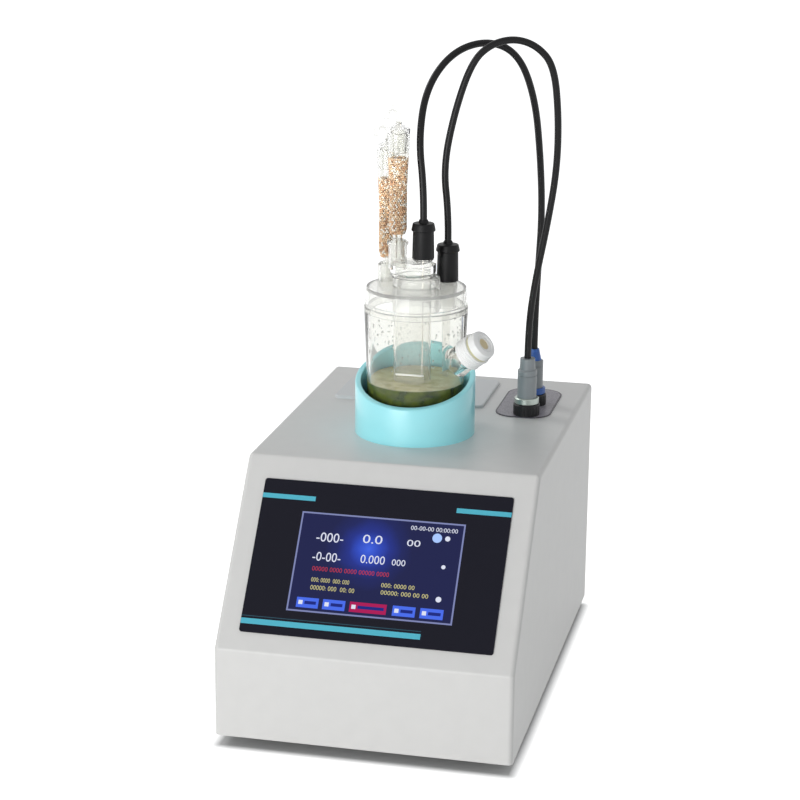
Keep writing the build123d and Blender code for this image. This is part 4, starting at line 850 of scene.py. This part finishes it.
# ---------------------------------------------------------------- case
@dataclass
class Case:
    """Folded housing with its base, rear panel, inlet and everything inside."""

    plain: dict[Paint, tuple[str, ...]] = field(
        default_factory=lambda: {
            Paint.CASE: ("housing_shell",),
            Paint.DARK_SHEET: ("base_plate", "rear_panel"),
            Paint.FOOT: ("feet", "platen_roller"),
            Paint.SCREW: ("case_screws", "holder_screws", "printer_hinge_pin"),
            Paint.BLACK: (
                "power_inlet", "power_rocker", "fuse_drawer", "printer_bay", "electrolysis_socket", "measuring_socket",
            ),
            Paint.BRASS: ("inlet_blades", "board_standoffs"),
            Paint.FUSE_GLASS: ("fuse",),
            Paint.FILM: ("front_panel",),
            Paint.MODULE: ("display_module",),
            Paint.BOARD: ("main_board",),
            Paint.PARTS: ("board_parts",),
            Paint.STEEL: ("power_supply", "stirrer_motor"),
            Paint.ALUMINIUM: ("motor_bracket", "print_head"),
            Paint.ACETAL: ("magnet_rotor",),
            Paint.NICKEL: ("rotor_magnets",),
            Paint.PTFE: ("stir_bar",),
            Paint.SEPTUM: ("injection_septum",),
            Paint.FRIT: ("electrolysis_diaphragm",),
            Paint.PLATINUM: ("measuring_pins",),
            Paint.PAPER: ("paper_roll",),
            Paint.PRINTER: ("printer_bezel", "printer_door"),
            Paint.SOCKET_PLATE: ("socket_plate",),
            Paint.PLUG_GREY: ("electrolysis_plug", "measuring_plug"),
            Paint.PLUG_BLUE: ("electrolysis_plug_ring", "electrolysis_plug_boot"),
            Paint.RING_SILVER: ("measuring_plug_ring",),
        }
    )

    def build(self, frame: dict) -> None:
        """Dress the nodes whose shape stays.
        """
        for finish, nodes in self.plain.items():
            dress(frame, finish, *nodes)


# ---------------------------------------------------------------- control panel
@dataclass
class ControlPanel:
    """Printed film with its stripes, and the lit touch screen."""

    front_y: float = -194.0
    bend_z: float = 84.5
    slope: float = 52.171
    film_t: float = 1.2
    screen: tuple[float, float, float, float] = (-67.4, 67.4, 36.5, 120.3)

    def place(self) -> Matrix:
        """Matrix from the slope's own axes, in metres, to the instrument's."""
        turn = math.radians(self.slope)
        up = Vector((0, math.cos(turn), math.sin(turn)))
        out = Vector((0, -math.sin(turn), math.cos(turn)))
        origin = Vector((0, self.front_y * MM, self.bend_z * MM))
        across = Vector((1, 0, 0))
        return Matrix([(across[i], up[i], out[i], origin[i]) for i in range(3)] + [(0, 0, 0, 1)])

    def on_slope(self, bm: bmesh.types.BMesh) -> bmesh.types.BMesh:
        """Lay a shape on the slope."""
        bmesh.ops.transform(bm, matrix=self.place(), verts=bm.verts)
        return bm

    def strip(self, name: str, box: tuple[float, float, float, float], finish: Paint, rise: float) -> None:
        """Print one thin rectangle on the film or the glass.

        Args:
            name: the piece's name.
            box: left, right, lower and upper side along the slope, in mm.
            finish: its finish.
            rise: height over the film's face, in mm.
        """
        x0, x1, s0, s1 = box
        bm = slab(x0, x1, s0, s1, self.film_t + 0.005, self.film_t + rise)
        piece(name, self.on_slope(bm), finish, "root")

    def disc(self, name: str, x: float, s: float, radius: float, finish: Paint) -> None:
        """Light up one round spot.

        Args:
            name: the piece's name.
            x: place across, in mm.
            s: place along the slope, in mm.
            radius: in mm.
            finish: the light.
        """
        bm = bmesh.new()
        spot = Matrix.Translation(Vector((x, s, self.film_t + 0.04)) * MM)
        r = radius * MM
        bmesh.ops.create_cone(bm, cap_ends=True, segments=32, radius1=r, radius2=r, depth=0.05 * MM, matrix=spot)
        piece(name, self.on_slope(bm), finish, "root")

    def words(self, name: str, text: str, box: tuple[float, float, float, float], finish: Paint) -> None:
        """Light up one row of figures, stretched to its place.

        Args:
            name: the piece's name.
            text: the figures.
            box: left, right, lower and upper side along the slope, in mm.
            finish: the light.
        """
        curve = bpy.data.curves.new(name, "FONT")
        curve.body = text
        curve.extrude = 0.01 * MM
        curve.resolution_u = 3
        spare = bpy.data.objects.new(name + "_text", curve)
        bpy.context.scene.collection.objects.link(spare)
        mesh = bpy.data.meshes.new_from_object(spare)
        bpy.data.objects.remove(spare)
        bm = bmesh.new()
        bm.from_mesh(mesh)
        bpy.data.meshes.remove(mesh)
        low = [min(v.co[i] for v in bm.verts) for i in (0, 1)]
        high = [max(v.co[i] for v in bm.verts) for i in (0, 1)]
        x0, x1, s0, s1 = (v * MM for v in box)
        grow = ((x1 - x0) / (high[0] - low[0]), (s1 - s0) / (high[1] - low[1]))
        for vert in bm.verts:
            vert.co.x = x0 + (vert.co.x - low[0]) * grow[0]
            vert.co.y = s0 + (vert.co.y - low[1]) * grow[1]
            vert.co.z += (self.film_t + 0.06) * MM
        piece(name, self.on_slope(bm), finish, "root")

    def build(self, frame: dict) -> None:
        """Dress the screen and print the film.
        """
        x0, x1, s0, s1 = self.screen
        glow = self.place() @ Vector((-8 * MM, 93 * MM, self.film_t * MM))
        glass = ScreenGlass("lit_touch_screen", tuple(glow)).material()
        target = frame["nodes"]["touch_glass"]
        for spot in target.material_slots:
            spot.material = glass
        for number, box in enumerate(
            ((-102.8, -58.4, 129.5, 133.5), (58.2, 102.8, 129.5, 133.5), (-102.8, 43.8, 22.6, 27.2))
        ):
            self.strip(f"film_stripe_{number + 1}", box, Paint.STRIPE, 0.05)
        self.strip("film_line", (-102.8, 43.8, 28.9, 29.6), Paint.DIM_STRIPE, 0.05)
        t = 1.3
        for number, box in enumerate(
            ((x0, x1, s0, s0 + t), (x0, x1, s1 - t, s1), (x0, x0 + t, s0 + t, s1 - t), (x1 - t, x1, s0 + t, s1 - t))
        ):
            self.strip(f"screen_border_{number + 1}", box, Paint.FRAME_LIGHT, 0.04)
        white, red, yellow = Paint.WHITE_LIGHT, Paint.RED_LIGHT, Paint.YELLOW_LIGHT
        for name, text, box, finish in (
            ("reading", "0.0", (-14.2, 1.8, 97.8, 105.0), white),
            ("unit_1", "00", (22.0, 33.0, 98.4, 103.8), white),
            ("rate", "0.000", (-13.6, 6.3, 81.0, 88.0), white),
            ("unit_2", "000", (12.1, 23.2, 81.2, 86.4), white),
            ("row_1", "-000-", (-52.4, -30.2, 96.0, 103.8), white),
            ("row_2", "-0-00-", (-53.0, -29.9, 79.6, 87.2), white),
            ("clock", "00-00-00 00:00:00", (23.4, 61.7, 112.2, 115.8), white),
            ("alarm", "00000 0000 0000 00000 0000", (-51.8, 11.4, 71.2, 75.0), red),
            ("small_1", "000: 0000  000: 000", (-51.0, -19.7, 62.0, 65.6), yellow),
            ("small_2", "00000: 000  00: 00", (-50.7, -14.6, 55.4, 59.2), yellow),
            ("small_3", "000: 0000 00", (6.4, 33.5, 62.4, 66.0), yellow),
            ("small_4", "00000: 000 00 00", (6.8, 45.4, 56.4, 60.0), yellow),
        ):
            self.words(f"screen_{name}", text, box, finish)
        lamps = ((45.8, 107.0, 3.9), (54.3, 107.1, 2.1), (54.1, 83.4, 1.7), (53.9, 56.5, 2.3))
        for number, (x, s, r) in enumerate(lamps):
            self.disc(f"screen_lamp_{number + 1}", x, s, r, Paint.LAMP_LIGHT if number == 0 else white)
        for number, (a, b) in enumerate(((-60.0, -42.0), (-38.5, -20.2), (-16.5, 13.5), (18.4, 36.8), (40.7, 59.4))):
            finish = Paint.RED_KEY if number == 2 else Paint.BLUE_KEY
            self.strip(f"screen_key_{number + 1}", (a, b, 40.0, 48.4), finish, 0.05)
            self.strip(f"screen_key_icon_{number + 1}", (a + 1.6, a + 5.0, 42.6, 46.0), white, 0.07)
            self.strip(f"screen_key_mark_{number + 1}", (a + 6.6, b - 2.0, 43.0, 45.6), Paint.KEY_MARK, 0.07)


# ---------------------------------------------------------------- cell holder
@dataclass
class CellHolder:
    """Enamelled ring holder, cut on a slant."""

    x: float = -3.3
    y: float = 5.8
    radius: float = 50.9
    wall: float = 5.0
    base_z: float = 216.5
    floor_t: float = 5.0
    front_h: float = 32.0
    back_h: float = 64.0

    def build(self) -> None:
        """Turn the cup, cut it on a slant and round its lip."""
        inner = self.radius - self.wall
        top = self.base_z + self.back_h + 6.0
        bm = lathe(
            [(0, self.base_z), (self.radius, self.base_z), (self.radius, top), (inner, top),
             (inner, self.base_z + self.floor_t), (0, self.base_z + self.floor_t)],
            self.x, self.y, 128,
        )
        rise = (self.back_h - self.front_h) / (2 * self.radius)
        middle = (self.front_h + self.back_h) / 2 + self.base_z
        normal = Vector((0, -rise, 1)).normalized()
        bmesh.ops.bisect_plane(
            bm,
            geom=list(bm.verts) + list(bm.edges) + list(bm.faces),
            plane_co=(self.x * MM, self.y * MM, middle * MM),
            plane_no=normal,
            clear_outer=True,
        )
        rims = [e for e in bm.edges if e.is_boundary]
        bmesh.ops.bridge_loops(bm, edges=rims)
        lip = [e for e in bm.edges if e.calc_face_angle(0) > 1.0 and min(v.co.z for v in e.verts) > 0.24]
        bmesh.ops.bevel(bm, geom=lip, offset=1.2 * MM, segments=4, profile=0.5, affect="EDGES", material=-1)
        bmesh.ops.recalc_face_normals(bm, faces=bm.faces)
        piece("ring_holder", bm, Paint.CYAN, "root", ("cell_holder",))


# ---------------------------------------------------------------- titration cell
@dataclass
class TitrationCell:
    """Glass vessel with its port, reagent, lid and injection cap."""

    x: float = -3.3
    y: float = 5.8
    radius: float = 43.5
    wall: float = 3.0
    base_z: float = 221.5
    floor_z: float = 225.5
    seam_z: float = 326.0
    lid_top_z: float = 344.2
    liquid_z: float = 261.0
    port_rise: float = 37.0
    port_turn: float = -22.0
    port_root_z: float = 251.5
    drops: int = 260
    drops_h: float = 50.0

    def port_matrix(self) -> Matrix:
        """Matrix that lays +Z on the injection port's axis."""
        turn, rise = math.radians(self.port_turn), math.radians(90 - self.port_rise)
        origin = Vector((self.x * MM, self.y * MM, self.port_root_z * MM))
        return Matrix.Translation(origin) @ Matrix.Rotation(turn, 4, "Z") @ Matrix.Rotation(rise, 4, "Y")

    def on_port(self, bm: bmesh.types.BMesh) -> bmesh.types.BMesh:
        """Lay a shape on the port's axis."""
        bmesh.ops.transform(bm, matrix=self.port_matrix(), verts=bm.verts)
        return bm

    def vessel(self) -> None:
        """Blow the vessel with its side port."""
        inner = self.radius - self.wall
        body = lathe(
            rounded(
                [(0, self.base_z), (self.radius, self.base_z), (self.radius, self.seam_z), (inner, self.seam_z),
                 (inner, self.floor_z), (0, self.floor_z)],
                {1: 5.0, 2: 0.6, 3: 0.6, 4: 3.0},
            ),
            self.x, self.y, 144,
        )
        piece("vessel_glass", body, Paint.GLASS, "cell", ("cell_vessel",))
        arm = lathe(
            rounded(
                [(7.0, 47.0), (14.0, 51.0), (10.4, 61.5), (12.0, 62.5), (12.0, 64.1), (10.4, 64.1), (10.4, 82.0),
                 (7.0, 82.0)],
                {1: 1.5, 2: 2.0, 6: 0.8, 7: 0.8},
            ),
            0, 0, 72, closed=True,
        )
        piece("port_glass", self.on_port(arm), Paint.GLASS, "cell")

    def reagent(self) -> None:
        """Fill the cell."""
        r = self.radius - self.wall - 0.12
        bm = lathe(
            rounded(
                [(0, self.floor_z + 0.15), (r, self.floor_z + 0.15), (r, self.liquid_z + 0.6),
                 (r - 1.6, self.liquid_z), (0, self.liquid_z)],
                {1: 2.6, 3: 1.5},
            ),
            self.x, self.y, 128,
        )
        piece("reagent", bm, Paint.LIQUID, "cell", ("electrolyte",))

    def lid(self) -> None:
        """Blow the lid with its centre joint and its two sleeves."""
        inner = self.radius - self.wall
        seam, top = self.seam_z, self.lid_top_z
        dome = lathe(
            rounded(
                [(19.8, top + 6.8), (16.6, top + 6.8), (16.6, seam - 4), (19.8, seam - 4), (19.8, top - 4),
                 (inner, top - 4), (inner, seam + 2), (inner - 2.3, seam + 2), (inner - 2.3, seam - 5),
                 (inner - 0.3, seam - 5), (inner - 0.3, seam + 0.1), (self.radius, seam + 0.1), (self.radius, top),
                 (19.8, top)],
                {0: 1.0, 1: 0.6, 5: 2.0, 12: 2.5},
            ),
            self.x, self.y, 144, closed=True,
        )
        sleeves = [
            lathe([(r, low), (r + w, low), (r + w, high), (r, high)], x, y, 48, closed=True)
            for x, y, r, w, low, high in (
                (19.8, 22.2, 5.6, 2.6, seam - 4, top + 0.8),
                (-32.0, 22.0, 6.0, 2.2, seam + 3, top + 12.0),
            )
        ]
        piece("lid_glass", dome, Paint.LID_GLASS, "cell_lid", ("cell_lid",))
        piece("lid_sleeves", join(*sleeves), Paint.FROST, "cell_lid")

    def droplets(self) -> None:
        """Scatter condensed drops on the inner wall."""
        rng = random.Random(5)
        bm = bmesh.new()
        reach = self.radius - self.wall + 0.05
        for _ in range(self.drops):
            turn = rng.uniform(0, 2 * math.pi)
            z = self.liquid_z + 12 + self.drops_h * rng.random() ** 0.8
            r = rng.uniform(0.3, 1.0)
            place = Matrix.Translation(
                Vector((self.x + reach * math.cos(turn), self.y + reach * math.sin(turn), z)) * MM
            )
            shape = Matrix.Rotation(turn, 4, "Z") @ Matrix.Diagonal((0.45, 1.0, rng.uniform(0.9, 1.5), 1.0))
            bmesh.ops.create_icosphere(bm, subdivisions=2, radius=r * MM, matrix=place @ shape)
        piece("condensation", bm, Paint.GLASS, "cell", sharp=180.0)

    def cap(self) -> None:
        """Mould the ringed injection cap with its sealing band."""
        ribs = []
        for k in range(4):
            t = 66.6 + k * 2.4
            ribs += [(13.6, t), (13.25, t + 0.4), (13.25, t + 0.8), (13.6, t + 1.2)]
        shell = lathe(
            rounded(
                [(10.8, 65.2), (13.4, 65.2), *ribs, (13.6, 76.8), (12.1, 77.4), (12.1, 79.2), (13.0, 79.6),
                 (13.0, 86.5), (8.2, 86.5), (7.4, 85.7), (5.0, 85.7), (5.0, 84.54), (10.8, 84.54)],
                {1: 0.6, 18: 0.5, 22: 1.8, 23: 0.5},
            ),
            0, 0, 96, closed=True,
        )
        piece("cap_shell", self.on_port(shell), Paint.WHITE_CAP, "injection_cap", ("injection_cap",))
        band = lathe([(12.0, 77.5), (12.4, 77.6), (12.4, 79.1), (12.0, 79.2)], 0, 0, 96, closed=True)
        piece("cap_band", self.on_port(band), Paint.CAP_BAND, "injection_cap")

    def build(self) -> None:
        """Build the cell."""
        self.vessel()
        self.reagent()
        self.droplets()
        self.lid()
        self.cap()


# ---------------------------------------------------------------- electrodes
@dataclass
class ElectrolysisElectrode:
    """Inner glass chamber with a bulb head and two necks."""

    x: float = -6.3
    y: float = 5.8
    body: str = "electrolysis_electrode"
    wire_r: float = 0.12
    uprights: int = 13
    crossings: int = 8

    def build(self) -> None:
        """Blow the chamber, the bulb and the necks, and hang the cathode in it."""
        chamber = lathe(
            rounded(
                [(14.4, 250.0), (16.2, 250.0), (16.2, 351.1), (18.9, 351.1), (21.0, 354.6), (21.0, 362.4),
                 (16.0, 366.6), (0, 366.6), (0, 364.8), (14.6, 364.8), (19.2, 361.4), (19.2, 355.2), (17.4, 352.7),
                 (14.4, 352.7)],
                {2: 0.5, 4: 3.0, 5: 3.0, 6: 4.0, 9: 2.0},
            ),
            self.x, self.y, 96, closed=True,
        )
        lead_neck = lathe(
            rounded([(4.7, 364.9), (6.5, 364.9), (6.5, 366.7), (8.3, 366.7), (8.3, 367.8), (6.5, 367.8), (6.5, 378.6),
                     (4.7, 378.6)], {3: 0.5, 4: 0.5}),
            3.5, 0.0, 48, closed=True,
        )
        tube_neck = lathe(
            rounded([(5.9, 358.0), (7.8, 358.0), (7.8, 378.5), (8.6, 378.5), (8.6, 381.0), (5.9, 381.0)],
                    {3: 0.5, 4: 0.6}),
            -18.3, 0.0, 48, closed=True,
        )
        piece(
            "electrolysis_glass", join(chamber, lead_neck), Paint.HEAD_GLASS, self.body,
            ("electrolysis_electrode",),
        )
        piece("electrolysis_tube_neck", tube_neck, Paint.FROST, self.body)
        self.cathode()

    def cathode(self) -> None:
        """Weave the flat platinum mesh between its two white rails; the white rails stand in for painted highlights on
        the chamber glass.
        """
        y, reach, low, high = self.y - 8.3, 11.6, 251.6, 266.0
        w = self.wire_r
        bars = []
        for k in range(self.uprights):
            x = self.x - reach + 2 * reach * k / (self.uprights - 1)
            bars.append(slab(x - w, x + w, y - w, y + w, low, high))
        for k in range(self.crossings):
            z = low + (high - low) * k / (self.crossings - 1)
            bars.append(slab(self.x - reach, self.x + reach, y - w, y + w, z - w, z + w))
        bars.append(slab(3.0, 4.0, -0.5, 0.5, high, 378.0))
        bars.append(slab(3.0, 4.0, y, 0.5, high, high + 1.0))
        piece("cathode_mesh", join(*bars), Paint.PLATINUM, self.body, ("cathode_gauze",))
        # white bars across the chamber: painted highlight lines on the glass, drawn as solid rails
        rails = [
            slab(self.x - reach, self.x + reach, y - 0.6, y + 0.6, z, z + 1.5, edge=0.3) for z in (250.4, high)
        ]
        piece("cathode_painted_highlight_rails", join(*rails), Paint.PTFE, self.body)


@dataclass
class ElectrodeCap:
    """Moulded cap on an electrode's neck: a body, a rounded rim and the lead's gland."""

    tag: str
    body: str
    x: float
    y: float
    low: float
    rim: float
    top: float
    bore: float
    bore_top: float

    def build(self) -> None:
        """Mould the cap."""
        bm = lathe(
            rounded(
                [(self.bore, self.low), (8.75, self.low), (8.75, self.rim - 0.8), (9.7, self.rim),
                 (9.7, self.top - 2.0), (4.8, self.top - 2.0), (3.7, self.top), (0, self.top), (0, self.bore_top),
                 (self.bore, self.bore_top)],
                {1: 0.5, 3: 0.6, 4: 1.6, 5: 0.6},
            ),
            self.x, self.y, 72,
        )
        piece(f"{self.tag}_cap_shell", bm, Paint.CAP_BLACK, self.body, (f"{self.tag}_cap",))


ELECTROLYSIS_CAP = ElectrodeCap("electrolysis", "electrolysis_electrode", 3.5, 0.0, 368.0, 391.6, 400.2, 6.6, 378.9)
MEASURING_CAP = ElectrodeCap("measuring", "measuring_electrode", 19.8, 22.2, 345.2, 370.8, 378.8, 5.1, 362.4)


@dataclass
class MeasuringElectrode:
    """Glass rod with a cone and a neck."""

    x: float = 19.8
    y: float = 22.2

    def build(self) -> None:
        """Draw the rod."""
        bm = lathe(
            rounded([(0, 243.0), (3.5, 243.0), (3.5, 324.0), (5.2, 328.0), (5.2, 345.1), (5.0, 345.1), (5.0, 362.1),
                     (0, 362.1)], {1: 1.5}),
            self.x, self.y, 48,
        )
        piece("measuring_glass", bm, Paint.GLASS, "measuring_electrode", ("measuring_electrode",))


# ---------------------------------------------------------------- drying tubes
@dataclass
class DryingTube:
    """Glass tube of granules with a hooked stopper."""

    tag: str
    x: float
    y: float
    joint_z: float
    length: float
    fill: float
    radius: float = 8.9
    wall: float = 1.1
    granule: float = 0.95
    row_step: float = 1.72

    def build(self) -> None:
        """Blow the tube, pour the granules and set the stopper."""
        low = self.joint_z + 4.5
        top = low + self.length
        r, t = self.radius, self.wall
        tube = lathe(
            rounded(
                [(2.0, self.joint_z - 16), (5.6, self.joint_z - 16), (5.6, self.joint_z), (7.0, self.joint_z + 0.1),
                 (7.0, self.joint_z + 1.3), (4.0, self.joint_z + 1.3), (4.0, low), (r, low), (r, top), (r - t, top),
                 (r - t, low + t + 0.6), (2.0, low + t + 0.6)],
                {5: 1.0, 7: 4.0, 8: 0.4, 9: 0.4, 10: 3.6},
            ),
            self.x, self.y, 64, closed=True,
        )
        node = f"{self.tag}_drying_tube"
        piece(f"{self.tag}_tube_glass", tube, Paint.GLASS, node, (node,))
        self.granules(low + t + 0.7, low + t + 0.7 + self.fill)
        self.stopper(top)

    def granules(self, low: float, high: float) -> None:
        """Pack beads behind the glass, four colours mixed.

        Args:
            low: the fill's lower end, in mm.
            high: its upper end, in mm.
        """
        node = f"{self.tag}_drying_agent"
        body = f"{self.tag}_drying_tube"
        rng = random.Random(7 if self.tag == "front" else 11)
        finishes = (Paint.BEAD_TAN, Paint.BEAD_WHITE, Paint.BEAD_BROWN, Paint.BEAD_ORANGE)
        shapes = [bmesh.new() for _ in finishes]
        ring_r = self.radius - self.wall - self.granule - 0.15
        rows = int((high - low) / (self.row_step * self.granule))
        count = int(2 * math.pi * ring_r / (2.0 * self.granule))
        for row in range(rows):
            for inner in (0, 1):
                reach = ring_r - inner * 1.9 * self.granule
                some = count if not inner else int(count * 0.7)
                for k in range(some):
                    turn = 2 * math.pi * (k + 0.5 * (row % 2) + rng.uniform(-0.15, 0.15)) / some
                    z = low + self.granule + row * self.row_step * self.granule + rng.uniform(-0.25, 0.25)
                    edge = max(0.0, low + 4.0 - z)
                    away = reach - 0.35 * edge
                    spot = Vector((self.x + away * math.cos(turn), self.y + away * math.sin(turn), z)) * MM
                    which = rng.choices(range(4), weights=(5, 3, 2, 3))[0]
                    bmesh.ops.create_icosphere(
                        shapes[which], subdivisions=2, radius=self.granule * rng.uniform(0.88, 1.06) * MM,
                        matrix=Matrix.Translation(spot),
                    )
        for finish, bm in zip(finishes, shapes):
            replaced = (node,) if finish is finishes[0] else ()
            piece(f"{self.tag}_{finish.name.lower()}", bm, finish, body, replaced, 180.0)

    def stopper(self, top: float) -> None:
        """Blow the hooked stopper.

        Args:
            top: the tube's upper end, in mm.
        """
        node = f"{self.tag}_stopper"
        cone = self.radius - self.wall - 0.4
        plug = lathe(
            rounded(
                [(cone - 1.4, top - 16), (cone, top - 16), (cone, top + 0.1), (9.6, top + 0.1), (9.6, top + 4.1),
                 (8.0, top + 4.1), (2.6, top + 9.1), (1.5, top + 9.1), (cone - 1.4, top + 2.6)],
                {3: 0.8, 4: 0.8, 6: 2.0},
            ),
            self.x, self.y, 48, closed=True,
        )
        base = top + 4.1
        bend = base + 11.0
        path = [Vector((self.x, self.y, base + 4.0)) * MM]
        for k in range(0, 19):
            turn = math.pi * k / 18
            path.append(Vector((self.x - 5.0 + 5.0 * math.cos(turn), self.y, bend + 5.0 * math.sin(turn))) * MM)
        path.append(Vector((self.x - 10.0, self.y, bend - 4.0)) * MM)
        piece(node + "_ground", plug, Paint.FROST, node, (node,))
        piece(node + "_hook", bend_tube(path, 2.6), Paint.GLASS, node)


FRONT_TUBE = DryingTube("front", -18.3, 0.0, 381.0, 86.0, 65.0)
REAR_TUBE = DryingTube("rear", -32.0, 22.0, 356.2, 93.0, 68.0)


def main() -> None:
    """Build the titrator and its studio."""
    logging.basicConfig(level=logging.INFO, format="%(message)s")
    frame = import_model()
    Studio().build()
    ELECTROLYSIS_LEAD.build(frame)
    MEASURING_LEAD.build(frame)
    Case().build(frame)
    ControlPanel().build(frame)
    CellHolder().build()
    TitrationCell().build()
    ElectrolysisElectrode().build()
    ELECTROLYSIS_CAP.build()
    MEASURING_CAP.build()
    MeasuringElectrode().build()
    FRONT_TUBE.build()
    REAR_TUBE.build()


if __name__ == "__main__":
    main()
